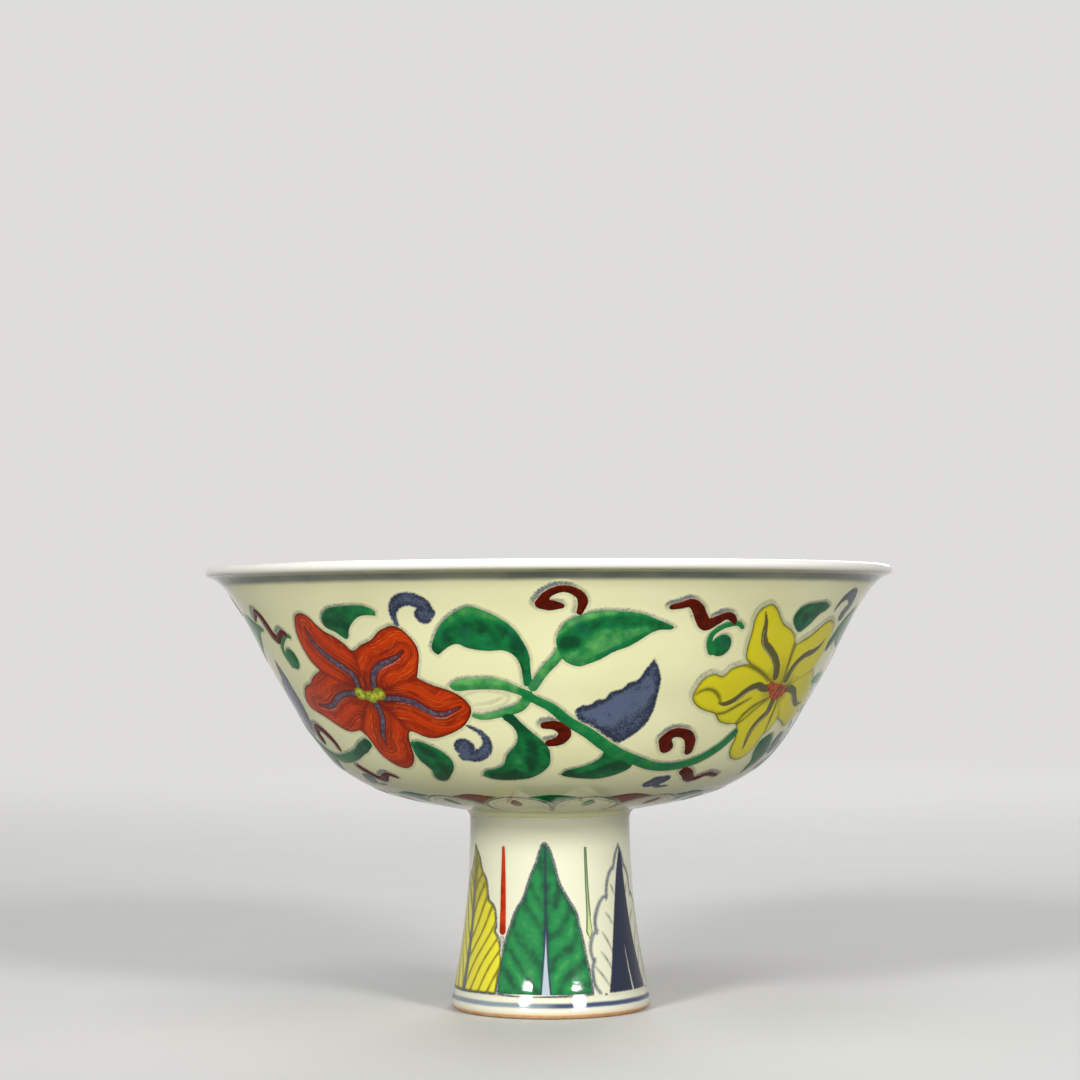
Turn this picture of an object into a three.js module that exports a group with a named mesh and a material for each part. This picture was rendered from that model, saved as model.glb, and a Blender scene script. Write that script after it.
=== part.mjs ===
// Porcelain stem bowl: a thrown bowl with an everted lip, luted with slip onto a hollow flared stem.
// Millimetres, +Z up. The origin is on the table, under the axis.
import * as THREE from "three";

// Driving dimensions of the bowl. Radii are from the axis, slopes are degrees above level.
const RIM_RADIUS = 82.8; // widest point of the lip
const BOWL_HEIGHT = 57.9; // from the seat to the top of the lip
const LIP_THICKNESS = 2.3;
const LIP_SLOPE = 14.7;
const NECK_OVERHANG = 7.6; // how far the lip stands out past the neck
const NECK_DROP = 9.1; // how far the neck lies below the lip
const NECK_SLOPE = 55.5;
const NECK_WALL = 2.5;
const FLANK_SPREAD = 10.9; // from the flank out to the neck
const FLANK_RISE = 19.8; // from the flank up to the neck
const FLANK_SLOPE = 57.7;
const FLANK_WALL = 2.8;
const BELLY_RADIUS = 50.5;
const BELLY_HEIGHT = 9.9; // above the seat
const BELLY_SLOPE = 39;
const BELLY_WALL = 3.3;
const HEEL_SLOPE = 8.6; // where the underside leaves the seat
const HEEL_WALL = 5.4;
const FLOOR_THICKNESS = 3.8; // on the axis

// Driving dimensions of the stem and of the slip between stem and bowl
const STEM_HEIGHT = 46.6;
const WAIST_RADIUS = 19.3; // narrowest point, just under the bowl
const STEM_WALL = 4.6;
const FOOT_RADIUS = 24.1;
const FOOT_FLARE = 76; // slope of the side at the foot, degrees above level
const FOOT_WALL = 5;
const FOOT_ROUND = 1.6; // rounding of the outer edge of the foot
const FOOT_BEVEL = 0.8; // bevel of its inner edge
const SLIP_THICKNESS = 1.4;
const SLIP_BEAD = 0.6; // how far the slip bulges into the hollow
const FILLET_RADIUS = 2.6; // hollow curve from the stem to the bowl
const SEAT_MARGIN = 0.1; // the turned seat is this much wider than the slip

// How finely the round forms are faceted
const TURN_STEPS = 64;
const BOWL_STEPS = { toBelly: 6, toFlank: 4, toNeck: 3, toLip: 5, lip: 8, well: 4 };
const STEM_STEPS = { fillet: 4, side: 9, foot: 3, hollow: 6 };
const SLIP_STEPS = { fillet: 3, bead: 4 };

// Sizes that follow from the driving dimensions
const SEAT_LEVEL = STEM_HEIGHT + SLIP_THICKNESS;
const SEAT_RADIUS = WAIST_RADIUS + FILLET_RADIUS + SEAT_MARGIN;
const LEVEL = 0;
const PLUMB = 90;

const point = (radius, height) => new THREE.Vector2(radius, height);

// Direction of a line that climbs at a slope
function heading(slope) {
  const angle = THREE.MathUtils.degToRad(slope);
  return point(Math.cos(angle), Math.sin(angle));
}

// A station is a place on the profile, the slope of the wall there and the wall's thickness
const station = (radius, height, slope, wall = 0) => ({ at: point(radius, height), slope, wall });

// The same station on the inner face of the wall
function inside({ at, slope, wall }) {
  const inward = heading(slope + PLUMB);
  return { at: at.clone().addScaledVector(inward, wall), slope, wall };
}

// Points of a smooth stretch from one station to the next, without its first point
function stretch(from, to, steps) {
  const reach = from.at.distanceTo(to.at) / 3;
  const leaving = from.at.clone().addScaledVector(heading(from.slope), reach);
  const arriving = to.at.clone().addScaledVector(heading(to.slope), -reach);
  return new THREE.CubicBezierCurve(from.at, leaving, arriving, to.at).getPoints(steps).slice(1);
}

// Points of an arc between two slopes of its radius, both ends included
function arc(centre, radius, fromSlope, toSlope, steps) {
  return Array.from({ length: steps + 1 }, (_, i) => {
    const slope = THREE.MathUtils.lerp(fromSlope, toSlope, i / steps);
    return centre.clone().addScaledVector(heading(slope), radius);
  });
}

// A profile turned about the axis, stood up along +Z
function turned(name, profile, material) {
  const geometry = new THREE.LatheGeometry(profile, TURN_STEPS);
  geometry.rotateX(Math.PI / 2);
  const mesh = new THREE.Mesh(geometry, material);
  mesh.name = name;
  return mesh;
}

// The hollow curve from the stem's side to the bowl's seat, as the slope of its radius at a height
const FILLET_CENTRE = point(WAIST_RADIUS + FILLET_RADIUS, SEAT_LEVEL - FILLET_RADIUS);
const filletSlope = (height) =>
  180 - THREE.MathUtils.radToDeg(Math.asin((height - FILLET_CENTRE.y) / FILLET_RADIUS));

// The bowl: flat seat, underside and side up to the lip, round the lip, and down the inside to the well
function bowl(material) {
  const lipCentre = point(RIM_RADIUS - LIP_THICKNESS / 2, SEAT_LEVEL + BOWL_HEIGHT - LIP_THICKNESS / 2);
  const lipEdge = lipCentre.clone().addScaledVector(heading(LIP_SLOPE - PLUMB), LIP_THICKNESS / 2);
  const neckAt = point(RIM_RADIUS - NECK_OVERHANG, SEAT_LEVEL + BOWL_HEIGHT - NECK_DROP);

  const heel = station(SEAT_RADIUS, SEAT_LEVEL, HEEL_SLOPE, HEEL_WALL);
  const belly = station(BELLY_RADIUS, SEAT_LEVEL + BELLY_HEIGHT, BELLY_SLOPE, BELLY_WALL);
  const flank = station(neckAt.x - FLANK_SPREAD, neckAt.y - FLANK_RISE, FLANK_SLOPE, FLANK_WALL);
  const neck = station(neckAt.x, neckAt.y, NECK_SLOPE, NECK_WALL);
  const lip = station(lipEdge.x, lipEdge.y, LIP_SLOPE, LIP_THICKNESS);
  const well = station(0, SEAT_LEVEL + FLOOR_THICKNESS, LEVEL);

  const side = (a, b, c, d, e) => [
    ...stretch(a, b, BOWL_STEPS.toBelly),
    ...stretch(b, c, BOWL_STEPS.toFlank),
    ...stretch(c, d, BOWL_STEPS.toNeck),
    ...stretch(d, e, BOWL_STEPS.toLip),
  ];
  const stations = [heel, belly, flank, neck, lip];
  const outer = [heel.at, ...side(...stations)];
  const edge = arc(lipCentre, LIP_THICKNESS / 2, LIP_SLOPE - PLUMB, LIP_SLOPE + PLUMB, BOWL_STEPS.lip);
  const inner = [well.at, ...stretch(well, inside(heel), BOWL_STEPS.well), ...side(...stations.map(inside))];
  const profile = [point(0, SEAT_LEVEL), ...outer, ...edge.slice(1, -1), ...inner.reverse()];
  return turned("bowl", profile, material);
}

// The stem: flat foot ring, rounded outer edge, flared side, fillet to the flat top, and the hollow inside
function stem(material) {
  const filletFoot = station(WAIST_RADIUS, FILLET_CENTRE.y, PLUMB);
  const footSide = station(FOOT_RADIUS, FOOT_ROUND, 180 - FOOT_FLARE);
  const footCentre = point(FOOT_RADIUS - FOOT_ROUND, FOOT_ROUND);
  const hollowTop = station(WAIST_RADIUS - STEM_WALL, STEM_HEIGHT, PLUMB);
  const hollowFoot = station(FOOT_RADIUS - FOOT_WALL, FOOT_BEVEL, 180 - FOOT_FLARE);

  const profile = [
    ...arc(footCentre, FOOT_ROUND, -PLUMB, 0, STEM_STEPS.foot),
    ...stretch(footSide, filletFoot, STEM_STEPS.side),
    ...arc(FILLET_CENTRE, FILLET_RADIUS, 180, filletSlope(STEM_HEIGHT), STEM_STEPS.fillet).slice(1),
    ...[hollowFoot.at, ...stretch(hollowFoot, hollowTop, STEM_STEPS.hollow)].reverse(),
    point(FOOT_RADIUS - FOOT_WALL + FOOT_BEVEL, 0),
  ];
  profile.push(profile[0].clone());
  return turned("stem", profile, material);
}

// The slip: a flat ring between the stem's top and the bowl's seat, wiped hollow outside, bulging inside
function lutingSlip(material) {
  const innerRadius = WAIST_RADIUS - STEM_WALL;
  const fillet = arc(FILLET_CENTRE, FILLET_RADIUS, filletSlope(STEM_HEIGHT), PLUMB, SLIP_STEPS.fillet);
  const bead = Array.from({ length: SLIP_STEPS.bead + 1 }, (_, i) => {
    const share = i / SLIP_STEPS.bead;
    const bulge = SLIP_BEAD * Math.sin(Math.PI * share);
    return point(innerRadius - bulge, SEAT_LEVEL - SLIP_THICKNESS * share);
  });
  return turned("luting_slip", [...fillet, ...bead, fillet[0].clone()], material);
}

const glazed = new THREE.MeshStandardMaterial({ color: 0xe6e6c8, roughness: 0.12, metalness: 0 });
const stemGlaze = new THREE.MeshStandardMaterial({ color: 0xe2e4ca, roughness: 0.12, metalness: 0 });
const slipGlaze = new THREE.MeshStandardMaterial({ color: 0xd3d2b4, roughness: 0.2, metalness: 0 });

const stemBowl = new THREE.Group();
stemBowl.add(bowl(glazed), stem(stemGlaze), lutingSlip(slipGlaze));

export default stemBowl;
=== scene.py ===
# %% [markdown]
# A porcelain stem bowl painted in two firings. The cobalt drawing lies under the glaze, and green,
# yellow, red and aubergine enamels are fused on top of it. The imported model gives the fixed frame:
# some sizes below are read from it, and every piece rides on its one body.

# %% Load the frame
import math

import bpy
import numpy as np
from mathutils import Matrix, Vector


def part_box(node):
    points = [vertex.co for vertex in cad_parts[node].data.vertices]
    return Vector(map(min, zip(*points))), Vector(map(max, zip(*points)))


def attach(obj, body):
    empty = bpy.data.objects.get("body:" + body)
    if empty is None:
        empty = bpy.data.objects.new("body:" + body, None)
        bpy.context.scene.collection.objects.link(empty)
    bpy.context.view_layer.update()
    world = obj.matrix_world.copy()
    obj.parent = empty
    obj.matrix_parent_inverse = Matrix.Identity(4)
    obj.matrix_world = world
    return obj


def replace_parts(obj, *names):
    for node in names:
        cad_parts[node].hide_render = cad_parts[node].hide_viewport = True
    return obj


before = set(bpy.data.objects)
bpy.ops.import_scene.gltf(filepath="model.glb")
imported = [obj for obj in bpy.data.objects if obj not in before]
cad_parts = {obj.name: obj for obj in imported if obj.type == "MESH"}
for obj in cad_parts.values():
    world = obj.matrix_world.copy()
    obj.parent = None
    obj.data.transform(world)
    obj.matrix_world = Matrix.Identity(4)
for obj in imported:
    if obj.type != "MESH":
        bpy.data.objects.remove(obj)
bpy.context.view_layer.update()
MM = 0.001
bowl_low, bowl_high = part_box("bowl")
stem_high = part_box("stem")[1]
slip_low, slip_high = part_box("luting_slip")
RIM_RADIUS = bowl_high.x / MM
SEAT_LEVEL = bowl_low.z / MM
TOP_LEVEL = bowl_high.z / MM
FOOT_RADIUS = stem_high.x / MM
STEM_HEIGHT = stem_high.z / MM
print(f"radii: rim {RIM_RADIUS:.1f} mm, foot {FOOT_RADIUS:.1f} mm")
print(f"levels: seat {SEAT_LEVEL:.1f} mm, top {TOP_LEVEL:.1f} mm")
print(f"slip from {slip_low.z / MM:.1f} mm up to {slip_high.z / MM:.1f} mm")

# %% [markdown]
# A thrown pot is one line turned about an axis. The line could be traced by many points, but a
# potter's wall has only a few places that matter: heel, belly, flank, neck and lip. Each of these
# stations says where the wall is, how steep it runs and how thick it is, and a soft curve joins
# each station to the next.

# %% Stations and curves of a turned line
BOWL_STATIONS = [
    # radius, height, slope in degrees, wall
    (22.0, SEAT_LEVEL, 8.6, 5.4),
    (50.5, SEAT_LEVEL + 9.9, 39, 3.3),
    (RIM_RADIUS - 18.5, TOP_LEVEL - 28.9, 57.7, 2.8),
    (RIM_RADIUS - 7.6, TOP_LEVEL - 9.1, 55.5, 2.5),
]
LIP_THICKNESS = 2.3
LIP_SLOPE = 14.7
FLOOR_THICKNESS = 3.8
WAIST_RADIUS = 19.3
STEM_WALL = 4.6
FOOT_FLARE = 76
FOOT_WALL = 5
FOOT_ROUND = 1.6
FOOT_BEVEL = 0.8
FILLET_RADIUS = 2.6
SLIP_BEAD = 0.6


def heading(slope):
    """A step of 1 mm along a line of that slope."""
    return np.array([math.cos(math.radians(slope)), math.sin(math.radians(slope))])


def stretch(start, end, count=48):
    """Points of the soft curve from one station to the next, without its first point."""
    a, b = np.array(start[:2], float), np.array(end[:2], float)
    reach = np.linalg.norm(b - a) / 3
    pull_a, pull_b = a + heading(start[2]) * reach, b - heading(end[2]) * reach
    t = np.linspace(0, 1, count + 1)[1:, None]
    return (1 - t) ** 3 * a + 3 * (1 - t) ** 2 * t * pull_a + 3 * (1 - t) * t * t * pull_b + t**3 * b


def arc(centre, radius, start, end, count=12):
    """Points of an arc between two slopes of its radius."""
    slopes = np.linspace(start, end, count + 1)
    return np.array(centre) + radius * np.array([heading(slope) for slope in slopes])


def inside_of(station):
    """The same station on the inner face of the wall."""
    at = np.array(station[:2]) + heading(station[2] + 90) * station[3]
    return (*at, station[2], station[3])


def lengths_along(line):
    """Distance in mm from the first point of a line to each of its points."""
    return np.concatenate([[0], np.cumsum(np.hypot(*np.diff(line, axis=0).T))])


def evened(line, spacing):
    """The same line with its points a steady distance apart."""
    along = lengths_along(line)
    count = max(2, round(along[-1] / spacing) + 1)
    steps = np.linspace(0, along[-1], count)
    return np.column_stack([np.interp(steps, along, line[:, 0]), np.interp(steps, along, line[:, 1])])


def joined(stations, count=48):
    """One line through all the stations."""
    parts = [np.array([stations[0][:2]], float)]
    parts += [stretch(a, b, count) for a, b in zip(stations, stations[1:])]
    return np.vstack(parts)


lip_centre = (RIM_RADIUS - LIP_THICKNESS / 2, TOP_LEVEL - LIP_THICKNESS / 2)
lip_edge = np.array(lip_centre) + heading(LIP_SLOPE - 90) * LIP_THICKNESS / 2
lip_station = (*lip_edge, LIP_SLOPE, LIP_THICKNESS)
outer_line = joined([*BOWL_STATIONS, lip_station])
print(f"outer wall {lengths_along(outer_line)[-1]:.1f} mm from the seat to the lip edge")

# %% [markdown]
# The body of each piece is the turned line swept round. Blender's Spin or Screw would do it, and so
# would a few lines of numpy, which also let every point remember how far down the wall it lies. The
# glaze uses that distance to draw the rings under the lip at a true width.

# %% Turn a line into a body
TURN_STEPS = 360
UV_NAME = "OFBake"
STRIP_SPAN = 180.0  # degrees of the turn in each strip of the map
STRIP_HEIGHT = 0.47
MAP_MARGIN = 0.004
HIDDEN_FROM = 0.97  # faces that are never seen share a thin strip at the top of the map
HIDDEN_HEIGHT = 0.02


def on_circle(theta):
    """Direction of a place on the pot: 0 degrees faces the front, and positive turns to the right."""
    angle = np.radians(theta)
    return np.sin(angle), -np.cos(angle)


def lay_out(mesh, theta, height, faces_top=None):
    """Flat map for the finish: two strips of half a turn each, so that a texture wastes little area."""
    corners = np.empty(len(mesh.loops), int)
    mesh.loops.foreach_get("vertex_index", corners)
    starts = np.empty(len(mesh.polygons), int)
    counts = np.empty(len(mesh.polygons), int)
    mesh.polygons.foreach_get("loop_start", starts)
    mesh.polygons.foreach_get("loop_total", counts)
    first = np.repeat(theta[corners[starts]], counts)
    turned = first + (theta[corners] - first + 180) % 360 - 180
    centre = np.repeat(np.add.reduceat(turned, starts) / counts, counts)
    strip = np.floor((centre + 180) % 360 / STRIP_SPAN)
    across = ((centre + 180) % 360 + turned - centre) / STRIP_SPAN - strip
    share = height[corners]
    hidden = np.zeros(len(corners), bool) if faces_top is None else np.repeat(~faces_top, counts)
    shown_up = (strip + share) * STRIP_HEIGHT + MAP_MARGIN * (1 + strip)
    up = np.where(hidden, HIDDEN_FROM + HIDDEN_HEIGHT * share, shown_up)
    uv = mesh.uv_layers.new(name=UV_NAME)
    across = MAP_MARGIN * 2 + across * (1 - MAP_MARGIN * 4)
    uv.data.foreach_set("uv", np.column_stack([across, up]).astype(np.float32).ravel())


def put_in_scene(name, mesh, material):
    """A finished mesh as a piece of the pot."""
    piece = bpy.data.objects.new(name, mesh)
    bpy.context.scene.collection.objects.link(piece)
    mesh.materials.append(material)
    mesh.polygons.foreach_set("use_smooth", [True] * len(mesh.polygons))
    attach(piece, "root")
    return piece


def turned_body(name, line, down, material, closed):
    """A line swept round the axis. A closed line comes back to its start, and an open one starts and
    ends on the axis."""
    theta = np.arange(TURN_STEPS) * 360 / TURN_STEPS - 180
    x, y = on_circle(theta)
    ring_line = line if closed else line[1:-1]
    ring_down = down if closed else down[1:-1]
    rings = len(ring_line)
    points = np.empty((rings, TURN_STEPS, 3))
    points[..., 0] = ring_line[:, :1] * x
    points[..., 1] = ring_line[:, :1] * y
    points[..., 2] = ring_line[:, 1:]
    index = np.arange(rings * TURN_STEPS).reshape(rings, TURN_STEPS)
    low = index if closed else index[:-1]
    high = np.roll(index, -1, axis=0) if closed else index[1:]
    quads = np.stack([low, np.roll(low, -1, 1), np.roll(high, -1, 1), high], -1).reshape(-1, 4)
    faces = quads.tolist()
    vertices = points.reshape(-1, 3)
    all_theta = np.tile(theta, rings)
    all_down = np.repeat(ring_down, TURN_STEPS)
    if not closed:
        start, end = len(vertices), len(vertices) + 1
        tips = [[0, 0, line[0, 1]], [0, 0, line[-1, 1]]]
        vertices = np.vstack([vertices, tips])
        all_theta = np.append(all_theta, [0, 0])
        all_down = np.append(all_down, [down[0], down[-1]])
        around = np.roll(index, -1, 1)
        faces += [[start, b, a] for a, b in zip(index[0].tolist(), around[0].tolist())]
        faces += [[end, a, b] for a, b in zip(index[-1].tolist(), around[-1].tolist())]
    mesh = bpy.data.meshes.new(name)
    mesh.from_pydata(vertices * MM, [], faces)
    mesh.attributes.new("down", "FLOAT", "POINT").data.foreach_set("value", all_down.astype(np.float32))
    reach = np.ptp(all_down)
    lay_out(mesh, all_theta, (all_down - all_down.min()) / reach)
    print(f"{name}: {len(vertices)} points, {len(faces)} faces")
    return put_in_scene(name, mesh, material)


# %% [markdown]
# A finish is a small net of shader nodes. Wiring it by hand hides the sum behind it, so one class
# wraps a socket and lets sums be written as Python does, and one method makes every other kind of
# node. Colours are mixed, never added, because a Math node would turn them grey.

# %% Shader sums
def colour(red, green, blue):
    """A colour read off a screen, 0 to 255, as the light values that shaders use."""
    screen = np.array([red, green, blue]) / 255
    light = np.where(screen <= 0.04045, screen / 12.92, ((screen + 0.055) / 1.055) ** 2.4)
    return (*light.tolist(), 1.0)


class Wire:
    """One output of a shader node, which takes part in sums like a number."""

    def __init__(self, finish, socket):
        self.finish = finish
        self.socket = socket

    def sum(self, operation, *values):
        """The output of a Math node that works on these values."""
        return self.finish.node("ShaderNodeMath", {"operation": operation}, dict(enumerate(values)))

    def __add__(self, other):
        return self.sum("ADD", self, other)

    def __radd__(self, other):
        return self.sum("ADD", other, self)

    def __sub__(self, other):
        return self.sum("SUBTRACT", self, other)

    def __rsub__(self, other):
        return self.sum("SUBTRACT", other, self)

    def __mul__(self, other):
        return self.sum("MULTIPLY", self, other)

    def __rmul__(self, other):
        return self.sum("MULTIPLY", other, self)

    def __abs__(self):
        return self.sum("ABSOLUTE", self)

    def at_least(self, other):
        """The greater of the two."""
        return self.sum("MAXIMUM", self, other)


class Finish:
    """A material whose nodes are made as its formula is written."""

    def __init__(self, name):
        self.material = bpy.data.materials.new(name)
        self.material.use_nodes = True
        self.tree = self.material.node_tree
        self.tree.nodes.clear()
        self.place = self.node("ShaderNodeTexCoord", output="Object")

    def along_axis(self, axis):
        """Place in mm along an axis: 0 is X, 1 is Y and 2 is Z."""
        return self.node("ShaderNodeSeparateXYZ", None, {0: self.place}, output=axis) * (1 / MM)

    def node(self, kind, settings=None, sockets=None, output=0):
        """Any node: its settings are set first, then its sockets get values or links."""
        node = self.tree.nodes.new(kind)
        for setting, value in (settings or {}).items():
            setattr(node, setting, value)
        for name, value in (sockets or {}).items():
            if isinstance(value, Wire):
                self.tree.links.new(value.socket, node.inputs[name])
            else:
                node.inputs[name].default_value = value
        return Wire(self, node.outputs[output])

    def field(self, name):
        """A number that the mesh carries at each point."""
        return self.node("ShaderNodeAttribute", {"attribute_name": name}, output="Fac")

    def soft_step(self, value, low, high):
        """0 below low, 1 above high, and a soft rise between."""
        sockets = {"Value": value, "From Min": low, "From Max": high}
        return self.node("ShaderNodeMapRange", {"interpolation_type": "SMOOTHSTEP"}, sockets)

    def blend(self, below, above, share):
        """One colour passing into another."""
        sockets = {0: share, 6: below, 7: above}
        return self.node("ShaderNodeMix", {"data_type": "RGBA"}, sockets, output=2)

    def grain(self, size, detail=2.0, stretched=None):
        """Noise from 0 to 1 whose spots are about so many mm wide."""
        vector = self.place
        if stretched is not None:
            sockets = {0: self.place, 1: stretched}
            vector = self.node("ShaderNodeVectorMath", {"operation": "MULTIPLY"}, sockets)
        sockets = {"Vector": vector, "Scale": 1 / (size * MM), "Detail": detail, "Roughness": 0.55}
        return self.node("ShaderNodeTexNoise", {"noise_dimensions": "3D"}, sockets)

    def uneven(self, height, distance, strength=1.0, normal=None):
        """A bump of the given height in mm."""
        sockets = {"Height": height, "Distance": distance * MM, "Strength": strength}
        if normal is not None:
            sockets["Normal"] = normal
        return self.node("ShaderNodeBump", None, sockets)

    def surface(self, base, roughness, normal, shine=0.5):
        """A glassy skin, as the material's output."""
        sockets = {"Base Color": base, "Roughness": roughness, "Normal": normal}
        sockets["Specular IOR Level"] = shine
        shader = self.node("ShaderNodeBsdfPrincipled", None, sockets)
        end = self.tree.nodes.new("ShaderNodeOutputMaterial")
        self.tree.links.new(shader.socket, end.inputs["Surface"])
        return self.material


# %% [markdown]
# The glaze is clear, a little green and pooled unevenly over a warm white body. It is never one
# flat colour: it is whitest where it runs thin over the lip, it holds faint clouds and the odd
# speck, and its skin is slightly wavy, so highlights wander. The ring under the lip is drawn here,
# from the distance down the wall, and so is painted shade: a brownish line just under the lip, and
# a darker tone over the whole inside.

# %% Colours and shine of the glaze
GLAZE = colour(243, 241, 190)
GLAZE_THICK = colour(232, 231, 172)
GLAZE_THIN = colour(236, 234, 224)
# painted shade: the inside's glaze is darker than the outside's, to hold down its strong light
GLAZE_SHADED_INSIDE = colour(225, 224, 194)
SPECK = colour(120, 104, 70)
# painted shade: a brownish line just under the everted lip
LIP_UNDERSIDE_SHADE = colour(150, 132, 96)
LIP_RING = colour(80, 92, 84)
# partly painted shade: whiter, as thin glaze is, and darker to offset the stem's stronger light
STEM_WHITE_SHADED = colour(221, 220, 198)
FOOT_WHITE = colour(228, 225, 208)
FOOT_EDGE = colour(232, 214, 170)
BISCUIT = colour(230, 172, 112)
BISCUIT_PALE = colour(236, 206, 164)
BISCUIT_BURNT = colour(214, 128, 62)
FOOT_RING = colour(42, 66, 102)
FOOT_RING_PALE = colour(80, 112, 136)
GLAZE_GLOSS = 0.06
GLAZE_SHINE = 0.34
STEM_SHINE = 0.5
print("glaze as light:", [round(part, 3) for part in GLAZE[:3]])

# %% [markdown]
# The clouds come from noise with spots of 22 mm and the specks from noise with spots of less than 1
# mm. Both are worked out in space, so they run on across the joint between bowl and stem.

# %% Glaze over the white body
def glazed_body(finish):
    """Colour of the glaze over the white body, with its clouds and specks."""
    clouds = finish.soft_step(finish.grain(22, 3), 0.35, 0.7)
    body = finish.blend(GLAZE, GLAZE_THICK, clouds * 0.5)
    specks = finish.soft_step(finish.grain(0.7, 1), 0.79, 0.84)
    return finish.blend(body, SPECK, specks * 0.35)


def stem_glaze_colour(finish):
    """The stem's glaze is thinner and whiter than the bowl's. It is also painted darker, as shade
    that offsets the stronger light on the stem.
    """
    return finish.blend(glazed_body(finish), STEM_WHITE_SHADED, 0.75)


def glaze_skin(finish):
    """Slight waves and pinholes of a fired glaze."""
    waves = finish.uneven(finish.grain(7, 1), 0.05)
    return finish.uneven(finish.grain(1.1, 2), 0.006, normal=waves)


def ring(finish, place, centre, width, softness):
    """A drawn ring: 1 on the line and 0 beside it."""
    away = abs(place - centre)
    return 1 - finish.soft_step(away, width / 2 - softness, width / 2 + softness)


# %% [markdown]
# The banded rings, the thin white lip and the bare clay of the foot belong to the glaze of one
# piece each. All are drawn by distance, down the wall or up the axis, and noise makes them waver as
# a banding brush does.

# %% Glaze of the three thrown pieces
def bowl_finish():
    """Glaze of the bowl: white over the lip, painted shade inside and just under the lip, and the ring.
    """
    finish = Finish("bowl_glaze")
    down = finish.field("down")
    wavering = down + (finish.grain(9, 1) - 0.5) * 0.35
    body = glazed_body(finish)
    thin_lip = 1 - finish.soft_step(down, -1.2, 0.7)
    # Painted shade: the whole inside gets a darker glaze, which holds down the strong light on it.
    inside_shade = 1 - finish.soft_step(down, -7.5, -5.2)
    body = finish.blend(body, GLAZE_SHADED_INSIDE, inside_shade * 0.9)
    white = finish.blend(body, GLAZE_THIN, thin_lip * (1 - inside_shade))
    # Painted shade: a brownish line just below the lip, where the lip overhangs the wall.
    with_lip_shade = finish.blend(white, LIP_UNDERSIDE_SHADE, ring(finish, wavering, 0.5, 0.5, 0.25) * 0.55)
    patches = finish.soft_step(finish.grain(14, 2), 0.25, 0.75)
    band = ring(finish, wavering, 2.5, 2.9, 0.85) * (0.78 + 0.16 * patches)
    base = finish.blend(with_lip_shade, LIP_RING, band)
    return finish.surface(base, GLAZE_GLOSS + 0.04 * finish.grain(4), glaze_skin(finish), GLAZE_SHINE)


def stem_finish():
    """Glaze of the stem: two blue rings at the foot, whiter glaze round them, and bare clay below."""
    finish = Finish("stem_glaze")
    wavering = finish.along_axis(2) + (finish.grain(6, 1) - 0.5) * 0.3
    patches = finish.grain(12, 1) * 24 - 12
    strong = finish.soft_step(finish.along_axis(0) + patches, -6, 8)
    ring_blue = finish.blend(FOOT_RING_PALE, FOOT_RING, strong)
    heavy = ring(finish, wavering, 3.25, 1.1, 0.3) * (0.78 + 0.2 * strong)
    closing = ring(finish, wavering, 5.35, 0.5, 0.2) * (0.55 + 0.35 * strong)
    thin_foot = 1 - finish.soft_step(wavering, 2.2, 5.6)
    glaze = finish.blend(stem_glaze_colour(finish), FOOT_WHITE, thin_foot * 0.8)
    glaze = finish.blend(glaze, ring_blue, heavy)
    glaze = finish.blend(glaze, ring_blue, closing)
    glaze = finish.blend(glaze, FOOT_EDGE, (1 - finish.soft_step(wavering, 1.2, 2.2)) * 0.7)
    bare = 1 - finish.soft_step(wavering, 0.9, 1.3)
    clay = finish.blend(BISCUIT, BISCUIT_PALE, finish.soft_step(finish.grain(1.4, 3), 0.3, 0.7))
    clay = finish.blend(clay, BISCUIT_BURNT, ring(finish, wavering, 0.9, 0.5, 0.3) * 0.5)
    base = finish.blend(glaze, clay, bare)
    return finish.surface(base, GLAZE_GLOSS + 0.5 * bare, glaze_skin(finish), STEM_SHINE)


def slip_finish():
    """Plain glaze over the joint."""
    finish = Finish("slip_glaze")
    skin = glaze_skin(finish)
    return finish.surface(glazed_body(finish), GLAZE_GLOSS + 0.03 * finish.grain(4), skin, GLAZE_SHINE)


# %% [markdown]
# Now the three thrown pieces. Each takes the place of its plain solid in the frame: the same
# stations, but with points about 0.75 mm apart, so that the lip, the fillet and the foot read as
# round at any distance.

# %% Bowl, stem and luting slip
POINT_SPACING = 0.75
SEAT_RADII = (0, 7, 14.7, 19)


def bowl_body():
    """The bowl: flat seat, outside up to the lip, round the lip, and down the inside to the well."""
    inner = [(0, SEAT_LEVEL + FLOOR_THICKNESS, 0), *map(inside_of, [*BOWL_STATIONS, lip_station])]
    lip = arc(lip_centre, LIP_THICKNESS / 2, LIP_SLOPE - 90, LIP_SLOPE + 90, 14)
    outside = evened(outer_line, POINT_SPACING)
    inside = evened(joined(inner), POINT_SPACING * 1.3)[::-1]
    seat = np.array([[radius, SEAT_LEVEL] for radius in SEAT_RADII])
    line = np.vstack([seat, outside, lip[1:-1], inside])
    lip_starts = len(seat) + len(outside) - 1
    along = lengths_along(line)
    down = along[lip_starts] - along
    return turned_body("thrown_bowl", line, down, bowl_finish(), closed=False)


fillet_centre = (WAIST_RADIUS + FILLET_RADIUS, SEAT_LEVEL - FILLET_RADIUS)
fillet_turn = 180 - math.degrees(math.asin((STEM_HEIGHT - fillet_centre[1]) / FILLET_RADIUS))
foot_side = (FOOT_RADIUS, FOOT_ROUND, 180 - FOOT_FLARE)
stem_side = joined([foot_side, (WAIST_RADIUS, fillet_centre[1], 90)])


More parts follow.
